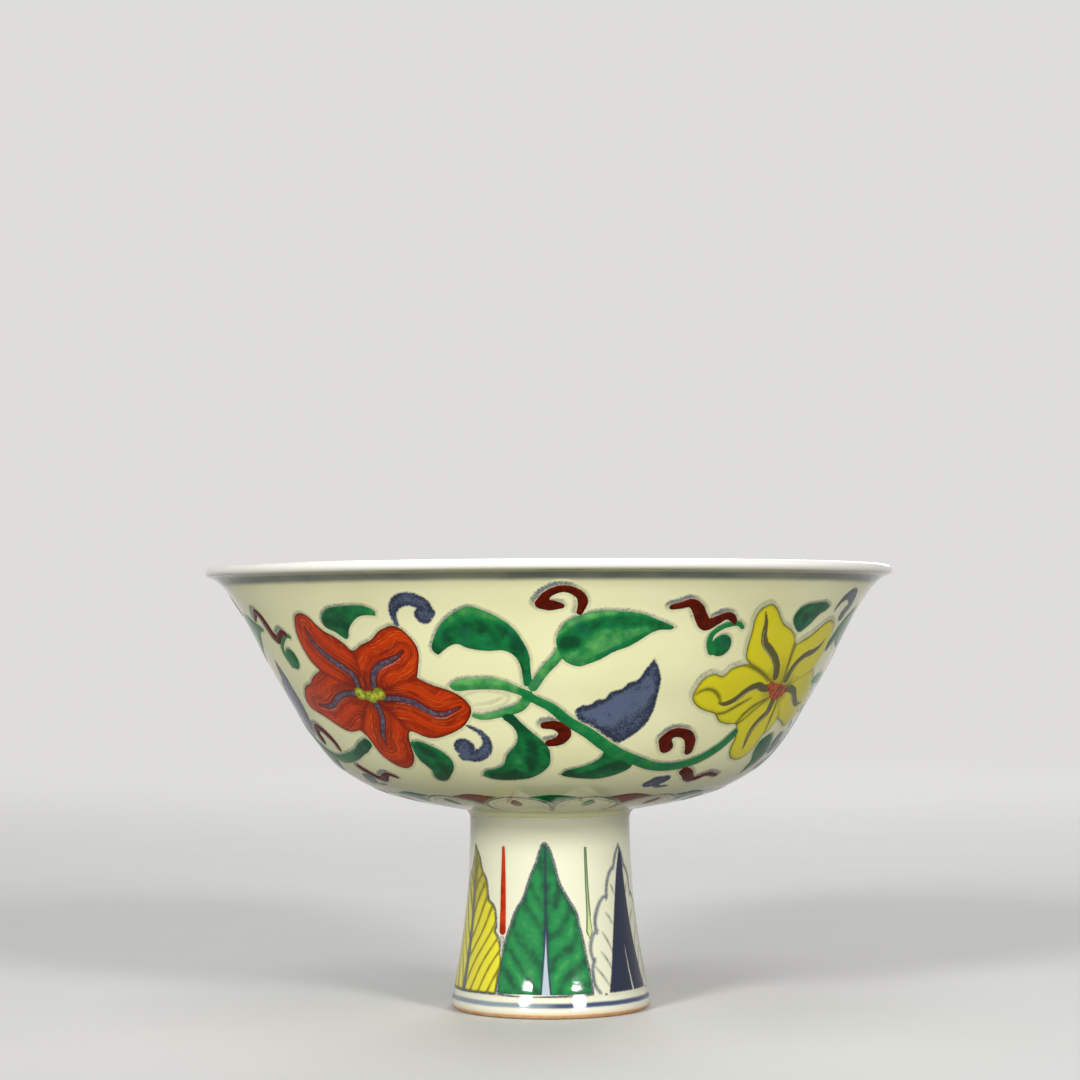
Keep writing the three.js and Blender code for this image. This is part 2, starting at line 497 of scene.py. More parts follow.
def stem_body():
    """The stem: foot, flared side, fillet under the bowl, flat top, and the hollow inside."""
    hollow_foot = (FOOT_RADIUS - FOOT_WALL, FOOT_BEVEL, 180 - FOOT_FLARE)
    hollow_top = (WAIST_RADIUS - STEM_WALL, STEM_HEIGHT, 90)
    hollow = evened(joined([hollow_foot, hollow_top]), POINT_SPACING * 1.5)
    foot = arc((FOOT_RADIUS - FOOT_ROUND, FOOT_ROUND), FOOT_ROUND, -90, 0, 8)
    fillet = arc(fillet_centre, FILLET_RADIUS, 180, fillet_turn, 6)
    bevel = np.array([[FOOT_RADIUS - FOOT_WALL + FOOT_BEVEL, 0]])
    line = np.vstack([foot[:-1], evened(stem_side, POINT_SPACING), fillet[1:], hollow[::-1], bevel])
    along = lengths_along(line)
    return turned_body("thrown_stem", line, along, stem_finish(), closed=True)


def slip_body():
    """The luting slip: a ring wiped hollow outside, with a small bead inside."""
    fillet = arc(fillet_centre, FILLET_RADIUS, fillet_turn, 90, 6)
    share = np.linspace(0, 1, 7)
    inner_radius = WAIST_RADIUS - STEM_WALL
    bead_radius = inner_radius - SLIP_BEAD * np.sin(np.pi * share)
    bead = np.column_stack([bead_radius, SEAT_LEVEL - (SEAT_LEVEL - STEM_HEIGHT) * share])
    line = np.vstack([fillet, bead])
    along = lengths_along(line)
    return turned_body("joint_slip", line, along, slip_finish(), closed=True)


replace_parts(bowl_body(), "bowl")
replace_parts(stem_body(), "stem")
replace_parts(slip_body(), "luting_slip")

# %% [markdown]
# The painter works on a curved wall. To draw on it, the wall is unrolled into a ground: degrees
# round the pot one way and mm along the wall the other. Each node of the ground knows its place and
# the direction that points out of the wall. A picture laid over the pot would be easier, but it
# would be only a picture: here each stroke becomes a mesh.

# %% Painting ground
FAR = -9.0  # mm: far outside any shape
MARGIN = 1.6  # mm of ground that is worked out beyond a curve


class Ground:
    """A turned wall, unrolled. Columns go round it, rows go along it."""

    def __init__(self, line, along, columns, rows):
        self.along = along
        self.radius = line[:, 0]
        self.height = line[:, 1]
        slope = np.gradient(line, along, axis=0)
        length = np.hypot(slope[:, 0], slope[:, 1])
        self.tilt = np.column_stack([slope[:, 1], -slope[:, 0]]) / length[:, None]
        if self.tilt[len(along) // 2, 0] < 0:
            self.tilt = -self.tilt
        self.columns = columns
        self.theta = np.arange(columns) * 360 / columns - 180
        self.rows = np.linspace(along[0], along[-1], rows)
        self.shape = (rows, columns)

    def place(self, theta, along, lift):
        """Where a spot of the ground lies, lifted off the wall by some mm."""
        tilt_out = np.interp(along, self.along, self.tilt[:, 0])
        tilt_up = np.interp(along, self.along, self.tilt[:, 1])
        radius = np.interp(along, self.along, self.radius) + lift * tilt_out
        height = np.interp(along, self.along, self.height) + lift * tilt_up
        x, y = on_circle(theta)
        return np.column_stack([radius * x, radius * y, height])

    def direction(self, theta, along):
        """The direction that points out of the wall at a spot."""
        out = np.interp(along, self.along, self.tilt[:, 0])
        up = np.interp(along, self.along, self.tilt[:, 1])
        x, y = on_circle(theta)
        return np.column_stack([out * x, out * y, up])

    def window(self, curve, margin=MARGIN):
        """The part of the ground that a curve reaches, with a margin in mm."""
        return Window(self, curve, margin)


# %% [markdown]
# One stroke touches only a few nodes, so it is measured in a window of the ground. The distance to a
# curve is the least distance to any of its short straight pieces, and a spot lies inside an outline
# if a line from it crosses the outline an odd number of times.

# %% Measure a stroke
class Window:
    """A small part of the ground, on which one stroke is measured."""

    def __init__(self, ground, curve, margin):
        low, high = curve.min(0), curve.max(0)
        rows = np.flatnonzero((ground.rows >= low[1] - margin) & (ground.rows <= high[1] + margin))
        middle = np.clip((low[1] + high[1]) / 2, ground.rows[0], ground.rows[-1])
        per_degree = math.radians(1) * np.interp(middle, ground.along, ground.radius)
        step = 360 / ground.columns
        first = math.floor((low[0] - margin / per_degree + 180) / step)
        last = math.ceil((high[0] + margin / per_degree + 180) / step)
        columns = np.arange(first, last + 1)
        self.spot = np.ix_(rows, columns % ground.columns)
        self.theta = (columns * step - 180)[None, :]
        self.along = ground.rows[rows][:, None]
        self.scale = np.radians(1) * np.interp(self.along, ground.along, ground.radius)
        self.shape = (len(rows), len(columns))

    def nearest(self, curve):
        """Distance in mm to a drawn curve, and how far along it the nearest place lies, from 0 to 1."""
        best = np.full(self.shape, np.inf)
        along = np.zeros(self.shape)
        for index, (a, b) in enumerate(zip(curve, curve[1:])):
            from_a = (self.theta - a[0]) * self.scale, self.along - a[1]
            run = (b[0] - a[0]) * self.scale, b[1] - a[1]
            square = run[0] ** 2 + run[1] ** 2 + 1e-9
            share = np.clip((from_a[0] * run[0] + from_a[1] * run[1]) / square, 0, 1)
            distance = np.hypot(from_a[0] - share * run[0], from_a[1] - share * run[1])
            closer = distance < best
            best = np.where(closer, distance, best)
            along = np.where(closer, (index + share) / (len(curve) - 1), along)
        return best, along

    def enclosed(self, curve):
        """Distance in mm to a closed outline, positive inside it."""
        ring_curve = np.vstack([curve, curve[:1]])
        crossings = np.zeros(self.shape, bool)
        for a, b in zip(ring_curve, ring_curve[1:]):
            if a[1] != b[1]:
                straddles = (a[1] > self.along) != (b[1] > self.along)
                crossing = a[0] + (self.along - a[1]) / (b[1] - a[1]) * (b[0] - a[0])
                crossings ^= straddles & (self.theta < crossing)
        distance = self.nearest(ring_curve)[0]
        return np.where(crossings, distance, -distance)

    def stroked(self, curve, widths):
        """Distance in mm to the edge of a brush stroke, positive inside it. Widths run from its start
        to its end."""
        distance, along = self.nearest(curve)
        return np.interp(along, np.linspace(0, 1, len(widths)), widths) / 2 - distance


WALL_COLUMNS = 1024
WALL_ROWS = 208
STEM_COLUMNS = 600
STEM_ROWS = 190
wall_line = outer_line[::-1]
wall_along = lengths_along(wall_line)
wall_ground = Ground(wall_line, wall_along, WALL_COLUMNS, WALL_ROWS)
stem_ground = Ground(stem_side, stem_side[:, 1], STEM_COLUMNS, STEM_ROWS)
print("wall ground", wall_ground.shape, "stem ground", stem_ground.shape)

# %% [markdown]
# A brush follows soft curves through a few places and turns sharply only at a leaf's
# tip. So each outline is a short list of places, in degrees and mm, and a curve is drawn through
# them: soft where the places bend gently, with a corner where they turn hard.

# %% Curves through picked places
SHARP_TURN = 75  # degrees
TYPICAL_SCALE = 1.15  # mm to a degree, about halfway up the wall


def drawn(places, closed=False, steps=5):
    """Points of the curve through the given places."""
    spots = np.array(places, float) * (TYPICAL_SCALE, 1)
    ahead = np.roll(spots, -1, axis=0)
    behind = np.roll(spots, 1, axis=0)
    leaving, arriving = ahead - spots, spots - behind
    if not closed:
        leaving[-1] = arriving[-1]
        arriving[0] = leaving[0]
    leaving_length = np.hypot(*leaving.T)[:, None] + 1e-6
    arriving_length = np.hypot(*arriving.T)[:, None] + 1e-6
    leaving_way, arriving_way = leaving / leaving_length, arriving / arriving_length
    bend = np.degrees(np.arccos(np.clip((leaving_way * arriving_way).sum(1), -1, 1)))
    middle = leaving + arriving
    middle /= np.hypot(*middle.T)[:, None] + 1e-6
    corner = (bend > SHARP_TURN)[:, None]
    way_out = np.where(corner, leaving_way, middle)
    way_in = np.where(corner, arriving_way, middle)
    count = len(spots) if closed else len(spots) - 1
    t = np.linspace(0, 1, steps, endpoint=False)[:, None]
    parts = []
    for index in range(count):
        follow = (index + 1) % len(spots)
        reach = leaving_length[index]
        a, b = spots[index], spots[follow]
        parts.append(
            (2 * t**3 - 3 * t**2 + 1) * a
            + (t**3 - 2 * t**2 + t) * way_out[index] * reach
            + (3 * t**2 - 2 * t**3) * b
            + (t**3 - t**2) * way_in[follow] * reach
        )
    if not closed:
        parts.append(spots[-1:])
    return np.vstack(parts) / (TYPICAL_SCALE, 1)


print(len(drawn([(0, 0), (1, 1), (2, 0)])), "points drawn through three places")

# %% [markdown]
# No two copies of a motif are alike on a painted pot. The copies that the photograph shows are drawn
# as they are there. Further round, each place drifts by a smooth wave, so that a copy is never an
# exact repeat.

# %% Turn places round the pot
HAND_SHIFT = 0.7  # mm
SEEN_SIDE = 80  # degrees from the front, up to which nothing drifts


def moved(places, turn):
    """The same places turned round the pot, with the drift of a copy that is out of view."""
    spots = np.array(places, float) + (turn, 0)
    away = (spots[:, 0] + 180) % 360 - 180
    drift = HAND_SHIFT * np.clip((np.abs(away) - SEEN_SIDE) / 20, 0, 1)
    spots[:, 0] += drift * np.sin(away * 0.11 + turn + spots[:, 1] * 0.13)
    spots[:, 1] += drift * np.cos(away * 0.14 + turn * 1.7 + spots[:, 1] * 0.09)
    return spots


drifted = moved([(0, 0)], 180) - (180, 0)
print("a place at the back drifts by", drifted[0].round(2), "degrees and mm")

# %% [markdown]
# A coat is one colour laid on the ground. At every node it knows how far inside the painted shape
# it lies, which gives a clean edge at any size, and how the brush shaded it there. Shapes are
# joined by taking the greater distance.

# %% Coats of colour
class Coat:
    """One colour on the ground: distance inside its edge, and the brushwork that it carries."""

    def __init__(self, ground, **brushwork):
        self.ground = ground
        self.inside = np.full(ground.shape, FAR)
        self.brushwork = {}
        for name, start in brushwork.items():
            self.brushwork[name] = np.full(ground.shape, float(start))

    def add(self, window, inside):
        """Joins a shape to the coat, as distances inside its edge."""
        self.inside[window.spot] = np.maximum(self.inside[window.spot], inside)

    def deepen(self, name, window, values):
        """Keeps the greater value, for distances."""
        field = self.brushwork[name]
        field[window.spot] = np.maximum(field[window.spot], values)

    def wash(self, name, window, value, share):
        """Blends a value in, for tones."""
        field = self.brushwork[name]
        field[window.spot] += (value - field[window.spot]) * np.clip(share, 0, 1)


def softly(value):
    """A soft rise from 0 to 1."""
    value = np.clip(value, 0, 1)
    return value * value * (3 - 2 * value)


green = Coat(wall_ground, tone=0.5)
yellow = Coat(wall_ground, tone=0.7, petal=0, vein=FAR, glint=FAR, heart=FAR, sweep=0, crease=FAR)
red = Coat(wall_ground, tone=0.5, petal=0, vein=FAR, glint=FAR, heart=FAR, sweep=0)
aubergine = Coat(wall_ground, tone=0.5)
blue = Coat(wall_ground, depth=0.5)
stem_green = Coat(stem_ground, tone=0.5, vein=FAR, wedge=FAR)
stem_yellow = Coat(stem_ground, tone=0.6, vein=FAR)
stem_red = Coat(stem_ground, tone=0.5)
stem_blue = Coat(stem_ground, depth=0.5)
print("five coats for the bowl and four for the stem")

# %% [markdown]
# Three ways to lay colour: a filled outline, a pull of the brush and a round touch. Each adds its
# shape to a coat and then shades it. The shading stops softly at the shape's edge, because the
# ground's nodes are about 0.4 mm apart and a hard stop would show them.

# %% Filled outlines, strokes and touches
SOFT_EDGE = 0.5


def covered_by(inside, edge=SOFT_EDGE):
    """1 inside a shape, falling softly to 0 over its edge."""
    return softly(inside / edge + 0.5)


def filled(coat, outline, turn):
    """Fills an outline. Gives back its window and the distances inside it."""
    curve = drawn(moved(outline, turn), closed=True)
    window = coat.ground.window(curve)
    inside = window.enclosed(curve)
    coat.add(window, inside)
    return window, inside


def away_from(window, places, turn):
    """Distance in mm to a curve through places."""
    return window.nearest(drawn(moved(places, turn)))[0]


def leaf(outline, turn, tone=0.45, bands=(), coat=green):
    """A leaf of enamel. Each band is a darker or lighter pull of the brush: places, width, tone."""
    window, inside = filled(coat, outline, turn)
    within = covered_by(inside)
    coat.wash("tone", window, tone, within)
    for places, width, band_tone in bands:
        near = softly(1.3 - away_from(window, places, turn) / width)
        coat.wash("tone", window, band_tone, within * near)


def stroke(coat, places, turn, widths, **brushwork):
    """One pull of the brush, as wide along its way as the widths say."""
    curve = drawn(moved(places, turn))
    window = coat.ground.window(curve, MARGIN + max(widths) / 2)
    inside = window.stroked(curve, widths)
    coat.add(window, inside)
    for name, value in brushwork.items():
        coat.wash(name, window, value, covered_by(inside))


def blot(coat, place, turn, radius, **brushwork):
    """A round touch of the brush."""
    stroke(coat, [place, (place[0] + 0.05, place[1] + 0.05)], turn, [radius * 2], **brushwork)


# %% [markdown]
# The lilies. Five petals meet in a heart. Each petal is painted on its own round a vein of cobalt,
# so the mesh keeps three things for the finish: how far a spot is from its petal's edge, from the
# vein, and along the brush.

# %% Petals and their veins
RED_PETALS = {
    "upper_left": (
        [(-51, 26.9), (-52.6, 24.8), (-53.5, 21.9), (-53.7, 18.6), (-53, 15.7), (-51.4, 13),
         (-49.4, 12.1), (-47.4, 13), (-46, 15.3), (-44.6, 16.9), (-42.6, 18.2), (-40.6, 20)],
        [(-41.2, 30.7), (-41.2, 28.2), (-42.8, 26.3), (-45.3, 24.4), (-47.4, 22.3), (-48.9, 20.3),
         (-49.6, 17.8), (-49.8, 15.7)],
    ),
    "upper_right": (
        [(-39.2, 21.7), (-36.7, 20.3), (-33.9, 19), (-31.7, 16.9), (-30.2, 16.1), (-28.6, 15.5),
         (-26.9, 16.3), (-25.4, 18.4), (-24.5, 20.7), (-24.4, 22.8), (-25.1, 25.7)],
        [(-36.9, 31.3), (-36.4, 29), (-35.3, 26.9), (-33.5, 25.3), (-31.4, 24.4), (-29.7, 23.6),
         (-27.6, 21.9)],
    ),
    "right": (
        [(-26, 28.6), (-23.3, 30.3), (-20.8, 31.3), (-18.3, 32.8), (-16.7, 34.6), (-16, 36.5),
         (-16.5, 38.6), (-18.3, 41.1), (-20.8, 42.8), (-23.6, 44), (-26.1, 44.6), (-28.6, 44.2)],
        [(-35.4, 34.1), (-33.6, 34), (-31.1, 34.2), (-28.6, 35), (-26.5, 36.5), (-24.4, 37.8),
         (-22.2, 38), (-20.4, 37.1), (-18.3, 36.1)],
    ),
    "lower": (
        [(-31.7, 42.8), (-32.6, 44), (-33.1, 46.5), (-33.5, 49.4), (-34.9, 51.9), (-37.4, 53.6),
         (-39.9, 53.6), (-42.4, 51.9), (-44.2, 49.4), (-44.9, 46.5), (-45.6, 44.4)],
        [(-38.3, 34.6), (-38, 36.5), (-38.1, 39.4), (-39.2, 41.9), (-40.1, 44), (-40.3, 46.5)],
    ),
    "left": (
        [(-46.9, 43), (-48.5, 43.2), (-50.6, 43.4), (-53.1, 42.8), (-56, 41.1), (-58.9, 39.4),
         (-61.7, 38.2), (-63.7, 36.9), (-63.7, 34.8), (-62.1, 32.8), (-59.9, 31.1), (-57.1, 30.3),
         (-54.6, 28.6), (-52.4, 27.5)],
        [(-43, 32.8), (-45.6, 32.8), (-48.1, 33.6), (-50.3, 34.8), (-52.4, 36.1), (-54.9, 36.5),
         (-58.1, 36.1)],
    ),
}
YELLOW_PETALS = {
    "upper_left": (
        [(41.5, 25.5), (40.1, 24.4), (39.4, 21.5), (39.2, 17.8), (38.8, 14.4), (39.4, 11.9),
         (41.5, 10.5), (43.6, 11.9), (45.4, 14), (47.2, 15.7), (49.7, 16.9), (51.9, 18.6)],
        [(51.1, 29), (49.7, 26.1), (47.9, 24), (45.4, 21.9), (43.5, 20.3), (42.4, 17.8),
         (41.9, 15.3), (40.6, 12.3)],
    ),
    "upper_right": (
        [(53.5, 20.7), (55.1, 20), (57.6, 18.6), (59.7, 16.9), (61.5, 15.3), (63.6, 14.6), (65.8, 15.3),
         (67.6, 17.3), (68.3, 20.3), (67.9, 23.6)],
        [(55.4, 29.8), (55.8, 27.3), (56.9, 25.3), (59, 23.6), (61.5, 22.8), (64, 21.3), (65.1, 19.4)],
    ),
    "right": (
        [(66.9, 27.3), (69.7, 29.8), (73.3, 32.3), (76.9, 34.4), (78, 36.1), (75.1, 38.6), (71.5, 42.3),
         (68.3, 43), (65.1, 41.9)],
        [(57.6, 32.3), (59.6, 32.4), (62.2, 33.4), (65.4, 35.7), (68.6, 36.9), (71.9, 36.5)],
    ),
    "lower": (
        [(61.5, 40.7), (60.4, 43.6), (58.3, 45.7), (57.9, 49), (55.8, 51.5), (52.9, 52.1), (49.7, 51.1),
         (47.6, 48.6), (47.2, 45.7), (46.1, 43.2)],
        [(54.4, 34.4), (54.6, 36.4), (54.6, 38.6), (52.9, 40.7), (51.7, 43.2), (51.9, 46.1),
         (52.6, 48.6)],
    ),
    "left": (
        [(45.1, 41.7), (42.2, 41.5), (39.4, 40.7), (37.2, 38.6), (34.5, 37.8), (31.9, 36.5),
         (30.1, 34.4), (30.3, 31.5), (31.5, 29), (33.6, 28), (35.8, 28.6), (37.2, 26.9),
         (39.7, 25.9)],
        [(50.4, 32), (48.6, 32), (46.5, 31.3), (44, 32.3), (41.5, 34.8), (39, 35.9), (37.2, 35.7)],
    ),
}
RED_CENTRE = (-38.6, 33)
YELLOW_CENTRE = (54.3, 32.5)
RED_HEART = [(-41.5, 32.8), (-38.7, 33.6), (-36.2, 32.8)]
YELLOW_HEART = [(49.7, 30), (52.6, 30.7), (55.4, 31.1), (58.6, 32.8), (56.9, 34.8), (54.4, 35.5),
                (51.9, 34), (50.1, 31.9)]
YELLOW_CREASES = [
    [(30.6, 33.2), (32, 32.1), (33.8, 32), (35.4, 32.8), (36.8, 34.2), (37.6, 35.6)],
    [(39.6, 25.8), (43, 26.6), (46.5, 28.2), (49, 30)],
    [(37.4, 38.6), (40, 38.2), (43, 36.4), (46, 34.6)],
    [(44.6, 41.8), (46, 39), (48.4, 36.6), (51.4, 35)],
    [(58.4, 44.6), (57.6, 41), (57, 37.6), (56.2, 35.2)],
    [(52.6, 19), (53, 22.4), (53.6, 26), (54.2, 29)],
]
print(len(RED_PETALS), "red petals and", len(YELLOW_PETALS), "yellow petals picked")

# %% [markdown]
# The painter fills the flower first, then works petal by petal along the vein. The tone follows the
# brush in soft waves, the vein thins towards the tip, and a pale hair of painted highlight runs below
# it.
# The hearts come last.

# %% Paint the lilies
VEIN_WIDTHS = [1.5, 1.5, 1.5, 1.4, 1.0, 0.3]
CREASE_WIDTHS = [0.2, 0.6, 0.6, 0.3]
# The glint is a painted highlight: a pale hair along the lower side of each vein.
GLINT_BELOW = 0.95  # a pale hair runs so many mm below each vein
GLINT_HALF = 0.24
HAIRS_APART = 7  # sets the hairs of one petal off from those of the next
HEART_ROW = 1.3
HEART_BLOB = 1.7


def petal_of(coat, petal, vein, index, ripple, vein_share):
    """Shading of one petal: tone along the brush, and distances to its edge, vein and painted glint."""
    window = coat.ground.window(petal)
    depth = window.enclosed(petal)
    own = depth > 0
    coat.deepen("petal", window, np.clip(depth, 0, None))
    distance, along = window.nearest(vein)
    sweep = coat.brushwork["sweep"]
    sweep[window.spot] = np.where(own, distance + HAIRS_APART * index, sweep[window.spot])
    shade = 0.6 + ripple * np.cos(distance * 1.6) - 0.3 * softly(1 - along * 3)
    coat.wash("tone", window, shade, own)
    widths = np.interp(along, np.linspace(0, 1, len(VEIN_WIDTHS)), VEIN_WIDTHS) * vein_share
    coat.deepen("vein", window, np.where(own, widths / 2 - distance, FAR))
    below, along_below = window.nearest(vein + (0, GLINT_BELOW))
    narrow = GLINT_HALF * np.sin(np.pi * np.clip(along_below, 0.02, 0.98))
    coat.deepen("glint", window, np.where(own, narrow - below, FAR))


def lily(coat, petals, centre, turn, ripple, vein_share=1.0):
    """A lily of five petals round its centre. The ripple is how strongly the tone follows the brush."""
    filled(coat, [place for outer, vein in petals.values() for place in outer], turn)
    rims = list(petals.values())
    for index, (outer, vein) in enumerate(rims):
        next_start = rims[(index + 1) % len(rims)][0][0]
        petal = drawn(moved([*outer, next_start, centre], turn), closed=True)
        petal_of(coat, petal, drawn(moved(vein, turn)), index, ripple, vein_share)


def red_heart(turn):
    """A row of small green blobs."""
    row = drawn(moved(RED_HEART, turn))
    window = wall_ground.window(row, 4)
    red.deepen("heart", window, HEART_ROW - window.nearest(row)[0])
    for spot in moved(RED_HEART, turn):
        red.deepen("heart", window, HEART_BLOB - window.nearest(np.vstack([spot, spot + 0.01]))[0])


def yellow_heart(turn):
    """One patch of red hairs, and the creases of the petals round it."""
    heart = drawn(moved(YELLOW_HEART, turn), closed=True)
    window = wall_ground.window(heart)
    yellow.deepen("heart", window, window.enclosed(heart))
    for places in YELLOW_CREASES:
        crease = drawn(moved(places, turn))
        window = wall_ground.window(crease)
        yellow.deepen("crease", window, window.stroked(crease, CREASE_WIDTHS))


for turn in (0, 180):
    lily(red, RED_PETALS, RED_CENTRE, turn, ripple=0.16)
    lily(yellow, YELLOW_PETALS, YELLOW_CENTRE, turn, ripple=0.04, vein_share=1.35)
    red_heart(turn)
    yellow_heart(turn)
print("lilies painted")

# %% [markdown]
# The spray that joins the lilies: one vine, leaves that end in a flick of the brush, a white bud,
# and small scrolls of aubergine, green and blue that fill the gaps. The same spray comes four times
# round the bowl.

# %% Places of the spray
VINE = [(-4.4, 33.2), (-1.9, 34.8), (0.6, 36.5), (4, 40), (8.3, 43), (11.5, 45.7), (14.4, 47.8),
        (17.2, 49.4), (21.1, 51.1), (25.4, 52.8), (30.1, 53.4), (34.7, 52.8), (39, 51.1),
        (42.9, 48.2), (45.1, 45.7), (46.5, 43.6)]
VINE_WIDTHS = [2.0, 2.2, 2.4, 2.6, 2.8, 3.0, 3.1, 2.9, 2.8, 2.8, 2.8, 2.8, 2.8, 2.7, 2.6, 2.4]
VINE_TO_RED = [*VINE[:9], (25.4, 51.8), (30.1, 51.3), (34.4, 50.4), (37.6, 49.2), (40.4, 47.8),
               (43.2, 46.3)]
VINE_TO_RED_WIDTHS = [2.0, 2.2, 2.4, 2.5, 2.6, 2.9, 3.0, 2.8, 2.8, 2.8, 2.9, 2.8, 2.7, 3.1, 2.6]
VINE_TO_RED_LEAF = [(37.5, 49.2), (40.6, 47.9), (43.4, 46.4)]
LEFT_LEAF = [(-4.9, 30.7), (-5.1, 27.8), (-5.4, 25.3), (-6.5, 23), (-8.3, 21.9), (-10.8, 22),
             (-13.3, 21.7), (-15.1, 21.1), (-16.5, 20.3), (-17.9, 20.7), (-19.4, 21.9),
             (-20.6, 23), (-21.5, 22.1), (-21.6, 20.7), (-20.8, 18.6), (-19.7, 16.3), (-17.9, 14),
             (-15.8, 12.1), (-13.5, 10.9), (-10.8, 12.1), (-8.3, 14), (-6.1, 16.5), (-4.7, 19.4),
             (-3.6, 22.8), (-3.4, 26.5), (-3.2, 31)]
LEFT_LEAF_FOLD = [(-20.5, 21.5), (-17.6, 17.8), (-14, 16), (-9.7, 16.5), (-5.8, 20.7), (-4.4, 27)]
RIGHT_STALK = [(-3.1, 31), (-1.1, 27.3), (1.2, 24), (2.2, 21.5)]
RIGHT_LEAF = [(2.1, 23.4), (1.7, 21.9), (1.2, 19.8), (1.7, 17.3), (3.1, 14.8), (5.7, 13),
              (9.4, 12.1), (12.9, 12.3), (16.1, 13), (19, 14.4), (21.9, 15.9), (22.6, 16.5),
              (21.9, 17), (19.7, 17.1), (18.3, 17.8), (16.5, 19.4), (14.4, 21.1), (11.9, 22.3),
              (9.4, 24.2), (7.2, 25.3), (5.4, 25.9), (3.1, 24.8)]
RIGHT_LEAF_FOLD = [(2.1, 21), (4, 18), (8, 15.4), (14, 14.8), (21.9, 16.2)]
RIGHT_LEAF_LIGHT = [(3.5, 17), (6, 14.6), (10, 13.6)]
BUD_TOP = [(-19.9, 30.7), (-18, 29.2), (-15, 28.6), (-11.1, 28.6), (-8.3, 29.4), (-5.8, 30.9),
           (-3, 32.4), (-4, 34), (-7.6, 32.3), (-9.7, 31.7), (-12.6, 31.6), (-15.4, 31.7),
           (-18.6, 32)]
BUD_OUTLINE = [(-17.2, 33.2), (-14, 32), (-9.7, 32.3), (-7.8, 33.6), (-9, 35.3), (-11.9, 36.5),
               (-14.7, 36.9), (-16.1, 36.7)]
BUD_VEIN = [(-15, 35.5), (-12, 35), (-9.5, 33.8)]
BUD_UNDER = [(-4.4, 34), (-5.8, 36.1), (-8.3, 37.3), (-11.1, 38.2), (-14, 38.8), (-15.6, 38.4)]
LOWER_LEAF = [(-9.4, 38.2), (-7.6, 38), (-5.8, 40.3), (-3.6, 42.8), (-1.5, 45), (-0.1, 47.3),
              (0.3, 49.8), (-0.1, 52.3), (-1.9, 54.6), (-4.7, 56.5), (-8.3, 57.3), (-11.9, 57.5),
              (-14.7, 57.1), (-17.2, 55.9), (-16.1, 54), (-13.3, 53.2), (-11.1, 51.9),
              (-10.1, 49.4), (-9, 47.8), (-7.6, 46.1), (-7, 44), (-7.4, 41.9), (-8.6, 40.3),
              (-9.7, 39.2)]
LOWER_LEAF_FOLD = [(-8, 39), (-5, 43), (-3.6, 47), (-4.5, 51.5), (-8.5, 55), (-14, 55.8)]
LOWER_LEAF_LIGHT = [(-7.6, 49.5), (-6.5, 53)]
BOTTOM_LEAF = [(2.6, 55.3), (4, 53.8), (7.2, 52.8), (10.1, 51.5), (11.9, 49.8), (12.6, 47),
               (16, 48.4), (20.5, 51), (20.1, 53.2), (18.3, 54.8), (15.4, 56.3), (11.9, 57.1),
               (7.6, 56.8), (4, 56.1)]
BOTTOM_LEAF_FOLD = [(5, 55), (10, 54.8), (15, 53), (19, 52)]
TO_RED_LILY = (90, 270)
print(len(LEFT_LEAF), len(RIGHT_LEAF), len(LOWER_LEAF), len(BOTTOM_LEAF), "places round the leaves")

# %% [markdown]
# Each leaf is one filled outline with a few pulls of a loaded brush over it, and where a pull left
# more glass the green is darker. The bud stays white: it is only outlined in blue.

# %% Paint the spray
def spray(turn):
    """Vine, leaves and bud."""
    leaf(LEFT_LEAF, turn, 0.4, [
        ([(-20.4, 18.4), (-17, 13.8), (-13.4, 12), (-8, 15)], 1.5, 0.62),
        (LEFT_LEAF_FOLD, 2.1, 0.14),
        ([(-15, 19.6), (-11, 20.4), (-8, 20)], 1.3, 0.34),
        ([(-3.9, 22), (-4.1, 30)], 0.9, 0.3),
    ])
    stroke(green, RIGHT_STALK, turn, [2.2, 2.2, 2.3, 2.0], tone=0.72)
    leaf(RIGHT_LEAF, turn, 0.7, [
        (RIGHT_LEAF_LIGHT, 1.7, 0.98),
        (RIGHT_LEAF_FOLD, 1.9, 0.28),
        ([(3, 20.4), (4.8, 19.9)], 2.0, 0.02),
        ([(8, 20.5), (13, 18.4), (17, 17)], 1.3, 0.8),
        ([(9, 23.6), (13, 21.2), (17, 18.4)], 0.9, 0.4),
    ])
    leaf(BUD_TOP, turn, 0.86, [
        ([(-19, 30.8), (-14, 30.9), (-8, 31)], 0.8, 0.7),
        ([(-5, 31.6), (-3, 33)], 1.6, 0.5),
    ])
    stroke(green, BUD_UNDER, turn, [2.4, 2.3, 2.2, 1.8, 1.5, 1.3], tone=0.8)
    leaf(LOWER_LEAF, turn, 0.25, [
        (LOWER_LEAF_FOLD, 1.7, 0.06),
        (LOWER_LEAF_LIGHT, 1.5, 0.5),
        ([(-2, 47), (-1.4, 51)], 0.9, 0.35),
    ])
    leaf(BOTTOM_LEAF, turn, 0.25, [
        (BOTTOM_LEAF_FOLD, 1.5, 0.05),
        ([(7, 54.2), (12, 52)], 1.0, 0.42),
    ])
    if turn in TO_RED_LILY:
        stroke(green, VINE_TO_RED, turn, VINE_TO_RED_WIDTHS, tone=0.3)
        stroke(green, VINE_TO_RED_LEAF, turn, [2.2, 3.0, 2.6], tone=0.08)
    else:
        stroke(green, VINE, turn, VINE_WIDTHS, tone=0.5)
    stroke(blue, [*BUD_OUTLINE, BUD_OUTLINE[0]], turn, [0.45], depth=0.4)
    stroke(blue, BUD_VEIN, turn, [0.5, 0.7, 0.4], depth=0.45)


for turn in (0, 90, 180, 270):
    spray(turn)
print("spray painted")

